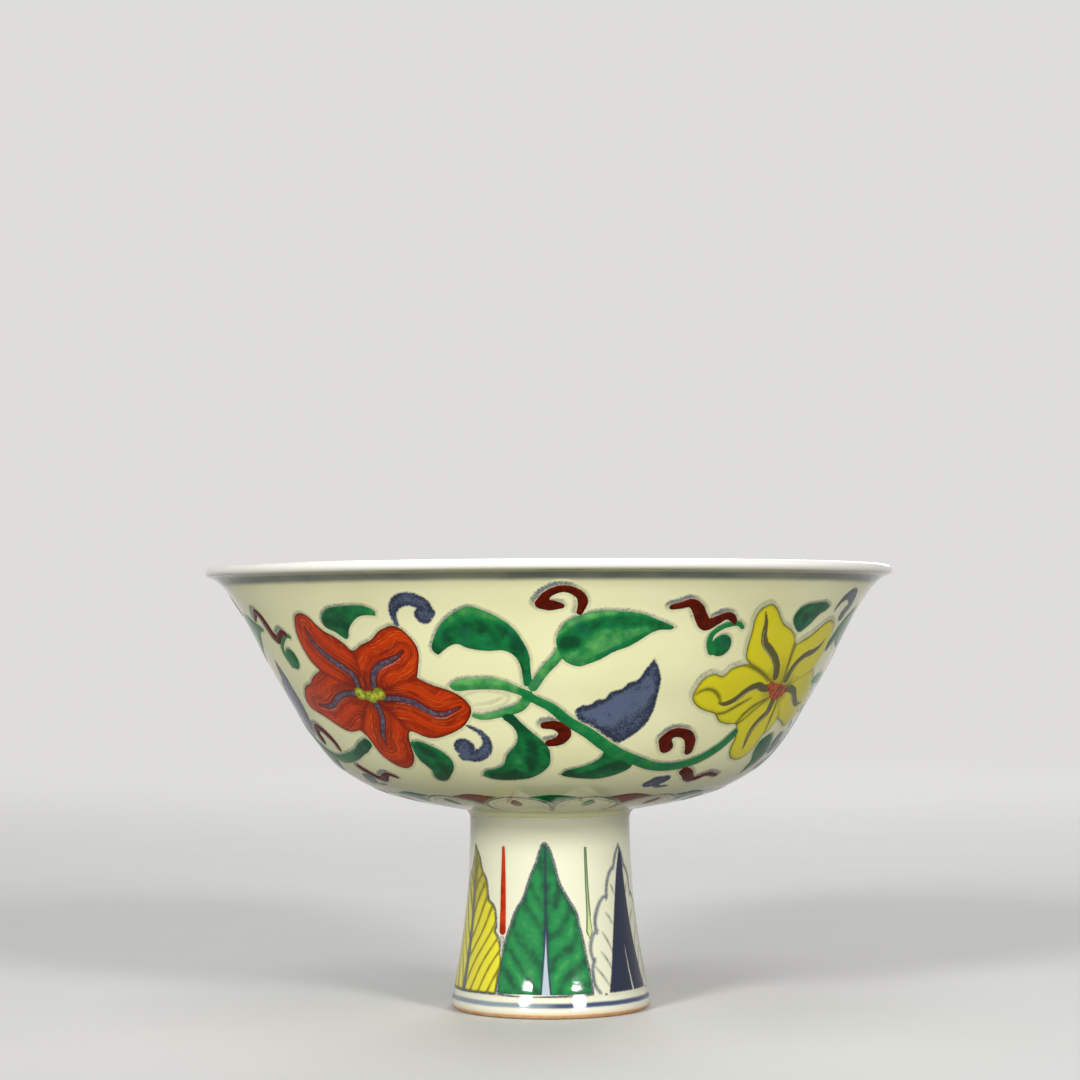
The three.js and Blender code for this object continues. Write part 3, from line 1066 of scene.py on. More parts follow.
# %% [markdown]
# Leaves beside the lilies, and the small scrolls. The painter's hand varies here most, so the
# leaves at the yellow lily are drawn for themselves, and so are the scrolls at the left edge of the
# photograph's view.

# %% Places of the leaves and scrolls
RED_LEAF_BELOW = [(-33.3, 45.7), (-30.8, 45.3), (-28.6, 46.1), (-26.5, 47.3), (-24.7, 49),
                  (-23.6, 51.1), (-24.2, 53.6), (-25.8, 55.7), (-27.9, 57.8), (-30.1, 58.2),
                  (-31.3, 57.1), (-30.8, 54.4), (-31.5, 52.8), (-32.6, 51.1), (-33.1, 48.6)]
YELLOW_LEAF_BELOW = [(61.1, 45.3), (64, 45), (66.9, 47.3), (69, 50.3), (68.3, 53.6), (66.1, 56.5),
                     (64.4, 57.8), (63, 55), (62.2, 52.8), (59.7, 50.3), (59, 47.3)]
RED_LEAF_ABOVE = [(-44, 15.9), (-44.2, 14), (-43.1, 12.3), (-41, 10.9), (-38.1, 10.5),
                  (-34.9, 10.3), (-32.6, 10.7), (-31, 11.9), (-31.2, 13.2), (-33.1, 13),
                  (-34.9, 13.4), (-36.7, 14.8), (-38.1, 16.5), (-39, 18.6), (-39.9, 19),
                  (-41.7, 17.3)]
YELLOW_LEAF_ABOVE = [(49, 14.2), (49.4, 11.9), (51.1, 10.5), (54, 10), (57.2, 9.8), (59.7, 10.9),
                     (59, 12.1), (57.2, 13.2), (55.8, 15.3), (54, 17.1), (52.6, 17.8),
                     (50.4, 16.3)]
BLUE_LEAF = [(5.3, 37.3), (6.6, 35.8), (8.2, 35.6), (9.6, 34.3), (11.2, 34), (12.2, 32.3),
             (14.2, 31.6), (15.4, 30.1), (17.2, 29.2), (18.4, 26.6), (19.7, 24), (20.8, 26.1),
             (21.9, 29.4), (22, 33.2), (21.9, 36.9), (21.1, 40.3), (19.4, 42.8), (17.2, 44.8),
             (15.4, 45.7), (13.6, 44.8), (11.1, 42.8), (8.3, 40.7), (6.1, 39.4)]
BLUE_LEAF_LIGHT = [(9, 39.5), (13, 36.5), (17.5, 33.5), (19.8, 31)]
BLUE_LEAF_PULLS = [
    [(8.6, 37.6), (12, 35.4), (15.6, 32.6), (18.4, 30.6)],
    [(11, 40.6), (14.6, 37.6), (18.4, 34.6), (20.6, 31.4)],
]
HOOK_LEG = [(-27.4, 15.7), (-27.6, 13.2), (-27, 10.9), (-25.4, 9.2), (-23.3, 9), (-21.5, 10.3),
            (-20.8, 12.3)]
HOOK_HEAD = (-21.9, 13.1)
RIGHT_HOOK_LEG = [(62.8, 11.9), (63.6, 9), (65.8, 7.5), (68.3, 8.4), (69.7, 10.7)]
RIGHT_HOOK_HEAD = (68.3, 12.8)
COMMA_HEAD = (-19.5, 46.9)
COMMA_TAIL = [(-20, 49.4), (-17.2, 49.4), (-15.1, 48.2), (-14, 46.1), (-14.5, 43.6), (-16.5, 41.7),
              (-18.6, 40.7)]
SIX = [(2.1, 10.9), (0.3, 10.7), (-1.3, 10.3), (-0.1, 7.8), (2.4, 6.5), (4.8, 7.8), (5.6, 9.8),
       (5.2, 12.5)]
SIX_WIDTHS = [1.5, 3.0, 2.8, 2.0, 1.9, 2.1, 2.4, 1.6]
LITTLE_C = [(-1, 40.9), (1, 40.9), (2.8, 41.9), (3.3, 43.4), (2.1, 45), (-0.1, 45.7)]
LITTLE_C_WIDTHS = [2.0, 2.5, 2.9, 3.0, 2.6, 1.9]
WAVE = [(21.1, 11.3), (22.6, 10.9), (24.5, 10.3), (26.1, 11.9), (27.2, 14), (28.6, 15.7), (30.4, 14.8),
        (32.2, 13.6), (33.6, 14), (34.5, 15.3)]
WAVE_WIDTHS = [1.5, 1.9, 2.3, 3.0, 3.2, 3.2, 2.6, 2.1, 1.9, 1.6]
LEFT_WAVE = [(-69.8, 13.8), (-68.5, 12.8), (-66.7, 11.9), (-65.3, 13), (-64.6, 15.3), (-63.7, 18),
             (-62.1, 19), (-60.3, 18), (-58.9, 17.3), (-57.6, 17.8)]
CURL_HEAD = (33, 20.9)
CURL_TAIL = [(31.3, 22.3), (30.3, 20.3), (30.4, 18.2), (31.9, 16.5), (33.6, 15.7), (35.4, 15.5),
             (36.7, 16.5)]
LEFT_CURL_HEAD = (-59.6, 24)
LEFT_CURL_TAIL = [(-61, 25.4), (-62.2, 23), (-61.6, 20.6), (-59.6, 18.9), (-57.8, 18), (-56.5, 18.4)]
ARCH = [(27.6, 47.3), (26.5, 45.3), (27.9, 43.6), (30.1, 43.4), (32.2, 44.2), (33.6, 46.1),
        (34.2, 48.6)]
ARCH_WIDTHS = [3.4, 3.1, 2.7, 2.5, 2.7, 2.9, 2.3]
LEFT_ARCH = [(-69.2, 45.8), (-69, 44), (-67, 42.7), (-64.6, 43.3), (-62.6, 44.9), (-61.3, 47),
             (-61.3, 48.6)]
LOW_SCROLL = [(36.5, 55), (38.3, 56.1), (40.1, 57.8), (41.9, 58.6), (44, 57.8), (46.1, 56.7),
              (49, 57.1), (50.8, 57.5)]
LOW_SCROLL_WIDTHS = [2.8, 3.0, 2.8, 2.2, 1.8, 1.7, 1.6, 1.3]
LEFT_LOW_SCROLL = [(-58.1, 54.4), (-55.6, 56.8), (-52.8, 58.6), (-49.6, 57.1), (-47.4, 56.3),
                   (-44.9, 57.3)]
LOW_BLOT = [(28.2, 59.8), (30, 58.8), (32, 57.8)]
LOW_BAND = [(29.4, 59.8), (31.9, 61.1), (35.1, 61.1)]
print(len(BLUE_LEAF), "places round the blue leaf")

# %% [markdown]
# A scroll is one pull of the brush whose width rises and falls, and some end in a round touch. The
# blue leaf is a wash that stays darker at its edge, where the cobalt settled.

# %% Paint the leaves and scrolls
LEAF_DARK = 0.06
DENSE = 0.95  # depth of well filled cobalt
HOOK_WIDTHS = [1.0, 1.7, 2.6, 3.4, 3.7, 3.6, 3.2]
COMMA_WIDTHS = [3.0, 3.5, 3.2, 2.4, 1.6, 1.0, 0.6]
CURL_WIDTHS = [2.2, 1.7, 1.5, 1.5, 1.5, 1.3, 1.1]
LEFT_ARCH_WIDTHS = [3.8, 3.4, 2.3, 2.3, 2.4, 2.3, 1.7]
LEFT_LOW_SCROLL_WIDTHS = [2.6, 2.8, 2.6, 2.0, 1.6, 1.2]
LEFT_EDGE = 270  # the copy whose scrolls show at the left edge of the view


def blue_leaf(turn):
    """Blue leaf: dark at its edge, with paler pulls of the brush in the middle."""
    window, inside = filled(blue, BLUE_LEAF, turn)
    blue.wash("depth", window, 1.0, covered_by(inside))
    middle = softly(1.5 - away_from(window, BLUE_LEAF_LIGHT, turn) / 3.4)
    blue.wash("depth", window, 0.8, middle * softly(inside / 2.4))
    for pull in BLUE_LEAF_PULLS:
        near = softly(1.2 - away_from(window, pull, turn) / 1.1)
        blue.wash("depth", window, 0.8, near * softly(inside / 1.2))


def comma(turn):
    """Blue spiral with a heavy head and a thin tail."""
    blot(blue, COMMA_HEAD, turn, 2.5, depth=DENSE)
    stroke(blue, COMMA_TAIL, turn, COMMA_WIDTHS, depth=0.9)


def hook(leg, head, turn):
    """Blue hook."""
    stroke(blue, leg, turn, HOOK_WIDTHS, depth=DENSE)
    blot(blue, head, turn, 2.1, depth=DENSE)


def curl(head, tail, turn):
    """Green curl with a round head."""
    blot(green, head, turn, 2.75, tone=0.25)
    stroke(green, tail, turn, CURL_WIDTHS, tone=0.5)


def lily_leaves(turn):
    """The leaves that peep out above and below the two lilies."""
    leaf(RED_LEAF_BELOW, turn, 0.3, [
        ([(-31, 47), (-27.5, 50), (-26.5, 54), (-29, 57)], 1.5, LEAF_DARK),
    ])
    leaf(YELLOW_LEAF_BELOW, turn, 0.3, [([(61, 47), (64.5, 50), (66, 54)], 1.5, LEAF_DARK)])
    leaf(RED_LEAF_ABOVE, turn, 0.28, [
        ([(-43, 15), (-40, 14.6), (-38.4, 15.6)], 1.6, LEAF_DARK),
        ([(-35, 11.6), (-31.6, 12.4)], 1.0, 0.5),
    ])
    leaf(YELLOW_LEAF_ABOVE, turn, 0.25, [([(50, 14), (53, 13.4), (57, 11)], 1.5, 0.1)])


for turn in (0, 90, 180, 270):
    blue_leaf(turn)
    comma(turn)
    stroke(aubergine, SIX, turn, SIX_WIDTHS)
    stroke(aubergine, LITTLE_C, turn, LITTLE_C_WIDTHS)
    if turn != LEFT_EDGE:
        stroke(aubergine, WAVE, turn, WAVE_WIDTHS)
        stroke(aubergine, ARCH, turn, ARCH_WIDTHS)
        stroke(aubergine, LOW_SCROLL, turn, LOW_SCROLL_WIDTHS)
        curl(CURL_HEAD, CURL_TAIL, turn)
    stroke(blue, LOW_BLOT, turn, [3.2, 4.4, 3.0], depth=1.0)
    stroke(blue, LOW_BAND, turn, [1.4, 1.6, 0.8], depth=0.9)
stroke(aubergine, LEFT_WAVE, 0, WAVE_WIDTHS)
stroke(aubergine, LEFT_ARCH, 0, LEFT_ARCH_WIDTHS)
stroke(aubergine, LEFT_LOW_SCROLL, 0, LEFT_LOW_SCROLL_WIDTHS)
curl(LEFT_CURL_HEAD, LEFT_CURL_TAIL, 0)
for turn in (0, 180):
    lily_leaves(turn)
    hook(HOOK_LEG, HOOK_HEAD, turn)
    hook(RIGHT_HOOK_LEG, RIGHT_HOOK_HEAD, turn)
print("scrolls painted")

# %% [markdown]
# Cobalt was drawn first and fired under the glaze, so every enamel shape has a soft grey line along
# its edge where the drawing peeps out. It could be drawn line by line, but it follows from the
# shapes: a thin band of ground just outside each one. Round the aubergine scrolls and the
# yellow lilies the drawing has slipped, up and to the left.

# %% Drawing along the edges
COLUMN_WIDTH = 0.45  # mm between two columns of the wall's ground, near the neck
HALOS = [
    # coat, columns and rows that the drawing slipped, depth, more depth on the upper left, half width
    (green, 0, 0, 0.28, 0.4, 0.48),
    (yellow, 0, 0, 0.36, 0.3, 0.48),
    (yellow, -2, -2, 0.1, 0.5, 0.34),
    (red, 0, 0, 0.32, 0.3, 0.48),
    (aubergine, -1, -1, 0.24, 0.46, 0.55),
]


def outlined(blue_coat, edge, depth, half):
    """A blue line along an edge, given as distances inside it. The depth is one number, or one for
    each node."""
    line = half - np.abs(edge)
    stronger = line > blue_coat.inside
    blue_coat.brushwork["depth"] = np.where(stronger, depth, blue_coat.brushwork["depth"])
    blue_coat.inside = np.maximum(blue_coat.inside, line)


def upper_side(coat):
    """1 along the upper left edges of a coat's shapes, falling to 0 along their lower right edges."""
    down = np.gradient(coat.inside, coat.ground.rows, axis=0)
    right = np.gradient(coat.inside, axis=1) / COLUMN_WIDTH
    return softly(0.5 + 0.42 * down + 0.2 * np.clip(right, -1, 1))


def slipped(coat, columns, rows):
    """The coat's distances, widened by a copy that is moved by whole nodes of the ground."""
    return np.maximum(coat.inside, np.roll(np.roll(coat.inside, columns, axis=1), rows, axis=0))


for coat, columns, rows, depth, added, half in HALOS:
    outlined(blue, slipped(coat, columns, rows), depth + added * upper_side(coat), half)
print("drawing added along", len(HALOS), "edges")

# %% [markdown]
# The stem carries six upright plantain leaves, two each of yellow, green, and white with blue, with
# thin needles between them. They stand on a blue ring. Their lobes slant up to the midrib, so a
# lobe is counted along the leaf less a share of the distance from the midrib, and the tone rises
# and falls with that count.

# %% Places of the stem's leaves
GREEN_PLANTAIN = [(-5.1, 40.5), (-9.6, 36.3), (-14, 32.7), (-18.4, 28), (-24, 24.7), (-27.3, 21.3),
                  (-30.7, 17.3), (-32.3, 14), (-33.4, 9.3), (-32.3, 5.6), (25.4, 5.6), (24.9, 9.3),
                  (23.2, 13.3), (21.6, 17.3), (19.3, 21.3), (17.1, 24.7), (12.7, 27.3), (6, 31.7),
                  (2.7, 36), (-1.2, 39.7)]
GREEN_MIDDLE = -2.9
GREEN_RIB = [(-3.6, 40), (-2.9, 19)]
WEDGE = [(-3.2, 21), (-4.6, 12), (-5.8, 5.2), (0.2, 5.2), (-1.4, 12), (-2.6, 21)]
YELLOW_RIGHT = [(-66.2, 39.6), (-59, 36.7), (-55.7, 34), (-49.6, 31.3), (-46.8, 27.3),
                (-40.7, 25.3), (-38.4, 21.3), (-39, 19.7), (-35.1, 17.7), (-32.6, 13.3),
                (-33.6, 9.3), (-34.4, 5.6)]
YELLOW_MIDDLE = -63.4
YELLOW_RIB = [(-65.6, 34), (-64.6, 28), (-63.6, 19.3), (-63.2, 5.6)]
WHITE_MIDDLE = 56.4
WHITE_LOBES = [
    [(56.4, 39.6), (52.6, 37.4), (49.2, 34.2)],
    [(50, 34.9), (45.8, 33.4), (42.5, 30.8), (41.2, 27.4)],
    [(41.8, 28.1), (37, 27.2), (32.8, 24.9), (30.7, 21.9), (31.4, 19.5)],
    [(32, 20.1), (28.9, 19.2), (26.6, 17.1), (26.4, 14.8), (28.2, 12.9)],
    [(28.7, 13.5), (27, 12.1), (26.4, 9.8), (27.4, 7.5), (30.4, 5.8)],
]
WHITE_VEINS = [
    [(46, 30.4), (47.6, 29.6), (49, 28.2)],
    [(40, 24), (42.6, 23), (45, 21.5)],
    [(36, 19.5), (39.5, 17.6), (43, 15)],
    [(34, 15), (37.6, 13.3), (41, 11)],
    [(28, 12), (33, 9.8), (38, 7)],
]
BLUE_TRIANGLE = [(57, 38.8), (54.4, 35.4), (51.6, 31), (48.2, 24.6), (43.8, 16.6), (40.4, 10.8),
                 (36.8, 5.6), (74.6, 5.6), (69.8, 14), (66, 22), (63, 30), (60.4, 36.4)]
PALE_NEEDLE = [(25.2, 39.4), (25.8, 30), (26.2, 24), (26.4, 20.4), (26.2, 18.4)]
PALE_STREAK = [(55.4, 16), (56.6, 10.5), (57.7, 5.6)]
GREEN_NEEDLE_AT = 86
RED_NEEDLE_AT = -34.6
print(len(WHITE_LOBES), "lobes and", len(WHITE_VEINS), "veins on each side of the white leaf")

# %% [markdown]
# The two coloured leaves are filled, and the slant of their lobes comes from one wave. The white
# leaf is drawn by its lines alone, with its other half mirrored about the midrib.

# %% Paint the stem
PLANTAIN_FOOT = 5.5
STEM_EDGE = 0.4
LINE_DEPTH = 0.7
TRIANGLE_DEPTH = 1.25


def mirrored(places, middle):
    """The other side of a leaf, in the opposite order."""
    return [(2 * middle - theta, height) for theta, height in reversed(places)]


def beside(window, middle):
    """Distance in mm sideways from a leaf's midrib."""
    return np.abs(window.theta - middle) * window.scale


def green_plantain(turn):
    """Green leaf: slanted lobes, light in their middle, a dark rib and a pale wedge at the foot."""
    window, inside = filled(stem_green, GREEN_PLANTAIN, turn)
    wedge = drawn(moved(WEDGE, turn), closed=True)
    stem_green.deepen("wedge", window, window.enclosed(wedge))
    middle = GREEN_MIDDLE + turn
    side = beside(window, middle)
    stagger = 1.6 * (window.theta > middle)
    wander = 0.16 * np.sin((window.theta - turn) * 0.19 + window.along * 0.31 + turn)
    count = (window.along - side * 1.35 + stagger) / 7.4 + wander
    lobes = 0.5 + 0.5 * np.cos(2 * np.pi * count)
    tone = 0.16 + 0.5 * lobes * softly(side / 2.4) * softly(inside / 2)
    stem_green.wash("tone", window, tone, covered_by(inside, STEM_EDGE))
    rib = drawn(moved(GREEN_RIB, turn))
    stem_green.deepen("vein", window, window.stroked(rib, [0.4, 0.9]))


def yellow_plantain(turn):
    """Yellow leaf: bright slanted lobes with dark lines between them, dimmer towards the tip."""
    outline = [*YELLOW_RIGHT, *mirrored(YELLOW_RIGHT, YELLOW_MIDDLE)[:-1]]
    window, inside = filled(stem_yellow, outline, turn)
    side = beside(window, YELLOW_MIDDLE + turn)
    count = (window.along - side * 1.9) / 5.6 + 0.12 * np.sin(window.along * 0.4)
    lobe = 1 - np.abs((count % 1) - 0.5) * 2
    low = softly((32 - window.along) / 14)
    tone = 0.02 + (0.22 + 0.64 * low) * softly(lobe * 1.5) * softly(side / 1.8) * softly(inside / 0.9)
    stem_yellow.wash("tone", window, tone, covered_by(inside, STEM_EDGE))
    rib = drawn(moved(YELLOW_RIB, turn))
    stem_yellow.deepen("vein", window, window.stroked(rib, [0.3, 0.9, 1.3, 1.7]))


def white_plantain(turn):
    """White leaf: drawn lobes and veins, round a filled blue triangle with a pale streak."""
    for lines, widths in ((WHITE_LOBES, [0.9, 1.15, 1.0]), (WHITE_VEINS, [0.4, 0.65, 0.4])):
        for line in lines:
            stroke(stem_blue, line, turn, widths, depth=LINE_DEPTH)
            stroke(stem_blue, mirrored(line, WHITE_MIDDLE), turn, widths, depth=LINE_DEPTH)
    curve = drawn(moved(BLUE_TRIANGLE, turn), closed=True)
    window = stem_ground.window(curve)
    streak = window.stroked(drawn(moved(PALE_STREAK, turn)), [0.1, 0.4, 0.6])
    inside = np.minimum(window.enclosed(curve), -streak)
    stem_blue.add(window, inside)
    stem_blue.wash("depth", window, TRIANGLE_DEPTH, covered_by(inside, STEM_EDGE))


def needle(coat, theta, turn, widths, **brushwork):
    """A thin upright stroke that hangs between two leaves, with a faint blue line below it."""
    stroke(coat, [(theta, 39.4), (theta + 0.6, 30), (theta + 1.7, 20)], turn, widths, **brushwork)
    stroke(stem_blue, [(theta + 1.7, 19.6), (theta + 1.9, 14)], turn, [0.7, 0.35], depth=0.5)


for turn in (0, 180):
    green_plantain(turn)
    yellow_plantain(turn)
    white_plantain(turn)
outlined(stem_blue, stem_green.inside, 1.0, 0.17)
outlined(stem_blue, stem_yellow.inside, 1.0, 0.2)
for turn in (0, 180):
    needle(stem_red, RED_NEEDLE_AT, turn, [1.0, 1.6, 1.9])
    stroke(stem_green, PALE_NEEDLE, turn, [0.7, 0.9, 1.0, 1.4, 2.0, 0.8], tone=1.3)
    needle(stem_green, GREEN_NEEDLE_AT, turn, [0.7, 1.3, 1.7], tone=0.6)
outlined(stem_blue, stem_red.inside, 0.2, 0.2)
stem_blue.inside[stem_ground.rows < PLANTAIN_FOOT - 0.5] = FAR
for coat in (stem_green, stem_yellow):
    coat.inside = np.minimum(coat.inside, stem_ground.rows[:, None] - PLANTAIN_FOOT)
print("stem painted")

# %% [markdown]
# Under the bowl a ring of lappets surrounds the stem, drawn in blue and touched with green and red
# in them and between their tips. The photograph shows only the tips, so the rest follows what such
# bowls have there.

# %% Lappets under the bowl
LAPPETS = 14
FIRST_LAPPET = 13.8
LAPPET_TOP = 66.2
LAPPET_FOOT = 83.5
FOOT_LINE = 85.2
lappet_half = 180 / LAPPETS
# Right half of each line, as a share of half a lappet and a place down the wall
ARCH_RIGHT = [(0, LAPPET_TOP), (0.4, 67.3), (0.78, 70), (0.95, 74), (0.97, LAPPET_FOOT)]
SECOND_RIGHT = [(0, LAPPET_TOP + 1.7), (0.36, 69), (0.68, 72), (0.78, 76)]
GAP = [(0.36, 66.3), (1, 64.6), (1.64, 66.3), (1.2, 69.4), (1, 72.6), (0.8, 69.4)]
TOUCH = [(0, 69), (0, 71), (0, 73.5)]


def widened(places):
    """Places given by shares of half a lappet, in degrees."""
    return [(share * lappet_half, down) for share, down in places]


def lappet(index):
    """One lappet with a touch of enamel in its middle, and the filled gap beside its tip."""
    turn = FIRST_LAPPET + index * 2 * lappet_half
    for half, width, depth in ((ARCH_RIGHT, 0.75, 1.0), (SECOND_RIGHT, 0.35, 0.5)):
        right = widened(half)
        stroke(blue, [*mirrored(right[1:], 0), *right], turn, [width], depth=depth)
    leaf(widened(GAP), turn, 0.35, coat=(red, green)[index % 2])
    stroke((green, red)[index % 2], TOUCH, turn, [1.4, 3.0, 1.8], tone=0.4)


for index in range(LAPPETS):
    lappet(index)
outlined(blue, wall_ground.rows[:, None] - FOOT_LINE, 0.6, 0.35)
for coat in (green, red):
    under_bowl = np.where(wall_ground.rows[:, None] > LAPPET_TOP - 1, coat.inside, FAR)
    outlined(blue, under_bowl, 0.4, 0.3)
print(LAPPETS, "lappets painted")

# %% [markdown]
# Next the coats become meshes. The ground's cells that lie wholly inside a shape are kept, and the
# cells that its edge crosses are cut along the edge, so outlines stay smooth however coarse the
# ground is. An enamel is a thin closed body with a low dome that sinks into the glaze at its edge,
# as a drop of glass does when it melts.

# %% Cut the ground along the edges
NEAREST_CUT = 0.06  # least share of a cell's side between a node and a cut, so that no sliver forms


def cut_cells(inside):
    """Corner pairs and shares that give each vertex, and the quads and triangles between them."""
    rows, columns = inside.shape
    values = inside.ravel()
    index = np.arange(rows * columns).reshape(rows, columns)
    a, d = index[:-1], index[1:]
    b, c = np.roll(a, -1, 1), np.roll(d, -1, 1)
    cells = np.stack([a, b, c, d], -1).reshape(-1, 4)
    positive = (values[cells] > 0).sum(1)
    # Cells with all four corners inside stay whole. Mixed ones are halved into triangles.
    quads = cells[positive == 4]
    mixed = cells[(positive > 0) & (positive < 4)]
    corners = np.vstack([mixed[:, [0, 1, 2]], mixed[:, [0, 2, 3]]])
    above = values[corners] > 0
    count = above.sum(1)
    pairs = [np.column_stack([quads.ravel(), quads.ravel()]).reshape(-1, 4, 2)]
    whole = corners[count == 3]
    triangles = [np.stack([whole, whole], -1)]
    # A triangle with one corner inside leaves a triangle, and one with two leaves a quad.
    for kept in (1, 2):
        some = corners[count == kept]
        odd = above[count == kept] if kept == 1 else ~above[count == kept]
        first = odd.argmax(1)
        order = (first[:, None] + np.arange(3)) % 3
        p, q, r = np.take_along_axis(some, order, 1).T
        if kept == 1:
            triangles.append(np.stack([np.stack(x, -1) for x in ((p, p), (p, q), (p, r))], 1))
        else:
            pairs.append(np.stack([np.stack(x, -1) for x in ((q, q), (r, r), (r, p), (q, p))], 1))
    # A vertex lies between two nodes, or on one node that is named twice. Faces share equal pairs.
    all_pairs = np.vstack([np.vstack(pairs).reshape(-1, 2), np.vstack(triangles).reshape(-1, 2)])
    all_pairs = np.sort(all_pairs, axis=1)
    keys = all_pairs[:, 0].astype(np.int64) * values.size + all_pairs[:, 1]
    unique, back = np.unique(keys, return_inverse=True)
    first, second = unique // values.size, unique % values.size
    rise = values[first] - values[second]
    share = np.where(first == second, 0, values[first] / np.where(rise == 0, 1, rise))
    share = np.where(first == second, 0, np.clip(share, NEAREST_CUT, 1 - NEAREST_CUT))
    quad_count = sum(len(part) for part in pairs)
    quad_faces = back[: quad_count * 4].reshape(-1, 4)
    triangle_faces = back[quad_count * 4 :].reshape(-1, 3)
    return first, second, share, quad_faces, triangle_faces


def open_edges(quads, triangles):
    """Edges that only one face has, in the direction of that face."""
    pairs = [np.stack([face, np.roll(face, -1, 1)], -1).reshape(-1, 2) for face in (quads, triangles)]
    edges = np.vstack(pairs)
    ordered = np.sort(edges, axis=1)
    keys = ordered[:, 0].astype(np.int64) * (edges.max() + 1) + ordered[:, 1]
    _, places, counts = np.unique(keys, return_index=True, return_counts=True)
    return edges[places[counts == 1]]


def dome(height, reach=0.45):
    """Lift of an enamel's face: it rises from the edge and levels off."""
    return lambda depth: height * (1 - np.exp(-depth / reach))


print(f"an enamel 0.13 mm high is {dome(0.13)(0.45):.3f} mm high at 0.45 mm from its edge")

# %% [markdown]
# A cut shape becomes a mesh: its vertices stand on the wall, lifted by the dome. An enamel is closed
# by a second layer inside the glaze and by a skirt between the two. The mesh carries the brushwork
# as attributes, which the finishes read.

# %% A coat as a mesh
def lay_coat(name, coat, inside, lift, sink, material):
    """A coat as a piece of its own. With sink it is a closed body that reaches into the glaze."""
    ground = coat.ground
    first, second, share, quads, triangles = cut_cells(inside)
    theta_grid = np.tile(ground.theta, ground.shape[0])
    along_grid = np.repeat(ground.rows, ground.shape[1])
    gap = (theta_grid[second] - theta_grid[first] + 180) % 360 - 180
    theta = theta_grid[first] + gap * share
    along = along_grid[first] * (1 - share) + along_grid[second] * share

    def carried(grid):
        flat = grid.ravel()
        return flat[first] * (1 - share) + flat[second] * share

    depth = np.clip(carried(inside), 0, None)
    points = ground.place(theta, along, lift(depth))
    probe = points[quads[0]] if len(quads) else points[triangles[0]]
    outward = ground.direction(theta[quads[0][:1]], along[quads[0][:1]])[0]
    facing = np.cross(probe[1] - probe[0], probe[2] - probe[0]) @ outward
    # Faces have to look out of the wall.
    if facing < 0:
        quads, triangles = quads[:, ::-1], triangles[:, ::-1]
    faces = quads.tolist() + triangles.tolist()
    top = np.ones(len(faces), bool)
    if sink:
        count = len(points)
        points = np.vstack([points, ground.place(theta, along, np.full(count, -sink))])
        rim = open_edges(quads, triangles)
        skirt = np.column_stack([rim[:, 1], rim[:, 0], rim[:, 0] + count, rim[:, 1] + count])
        for part in (quads[:, ::-1] + count, triangles[:, ::-1] + count, skirt):
            faces += part.tolist()
        top = np.concatenate([top, np.zeros(len(faces) - len(top), bool)])
    mesh = bpy.data.meshes.new(name)
    mesh.from_pydata(points * MM, [], faces)
    copies = 2 if sink else 1
    for field_name, grid in {"depth_in": coat.inside, **coat.brushwork}.items():
        values = np.tile(carried(grid), copies).astype(np.float32)
        carrier = mesh.attributes.new(field_name, "FLOAT", "POINT")
        carrier.data.foreach_set("value", values)
    reach = ground.rows[-1] - ground.rows[0]
    lay_out(mesh, np.tile(theta, copies), np.tile((along - ground.rows[0]) / reach, copies), top)
    put_in_scene(name, mesh, material)
    if not sink:
        mesh.normals_split_custom_set_from_vertices(ground.direction(theta, along).tolist())
    print(f"{name}: {len(points)} points, {len(faces)} faces")


# %% [markdown]
# The enamels. Green and yellow are coloured glass, so they are dark where the brush pooled and
# light where it ran thin. A tone kept in the mesh says which, and noise adds the clouds that the
# glass dries in. Green comes first: on the stem it also has a dark rib, a pale wedge and a pale
# needle.

# %% Green enamel
ENAMEL_SHINE = 0.15
GREEN_POOLED = colour(2, 70, 36)
GREEN_BODY = colour(12, 122, 58)
GREEN_THIN = colour(104, 182, 98)
GREEN_BLUISH = colour(16, 88, 78)
GREEN_EDGE = colour(28, 84, 62)
STEM_GREEN_POOLED = colour(2, 76, 44)
STEM_GREEN_BODY = colour(14, 126, 62)
STEM_GREEN_THIN = colour(72, 172, 84)
STEM_GREEN_EDGE = colour(14, 60, 52)
PALE_NEEDLE_EDGE = colour(96, 110, 84)
PALE_NEEDLE_CORE = colour(200, 208, 140)
RIB_BLUE = colour(16, 50, 58)
WEDGE_WHITE = colour(178, 190, 196)
WEDGE_LINE = colour(30, 44, 74)


def mottled(finish, spot, strength=0.9):
    """The tone of a brushed enamel, with the clouds that it dries in."""
    return finish.field("tone") + (finish.grain(spot, 3) - 0.5) * strength


def near_edge(finish, start, end):
    """1 along the edge of a painted shape and 0 further in."""
    return 1 - finish.soft_step(finish.field("depth_in"), start, end)


def enamelled(finish, base, least, patchy, shine=ENAMEL_SHINE):
    """A skin of enamel, whose gloss varies a little from spot to spot."""
    return finish.surface(base, least + patchy * finish.grain(1.2), glaze_skin(finish), shine)


def green_finish():
    """Green of the spray: bluish in places, with a dark edge."""
    finish = Finish("green_enamel")
    tone = mottled(finish, 2.6)
    base = finish.blend(GREEN_POOLED, GREEN_BODY, finish.soft_step(tone, 0, 0.5))
    base = finish.blend(base, GREEN_THIN, finish.soft_step(tone, 0.45, 1.15))
    base = finish.blend(base, GREEN_BLUISH, finish.soft_step(finish.grain(5, 2), 0.52, 0.7) * 0.4)
    base = finish.blend(base, GREEN_EDGE, near_edge(finish, 0.0, 0.3) * 0.35)
    return enamelled(finish, base, 0.07, 0.05)


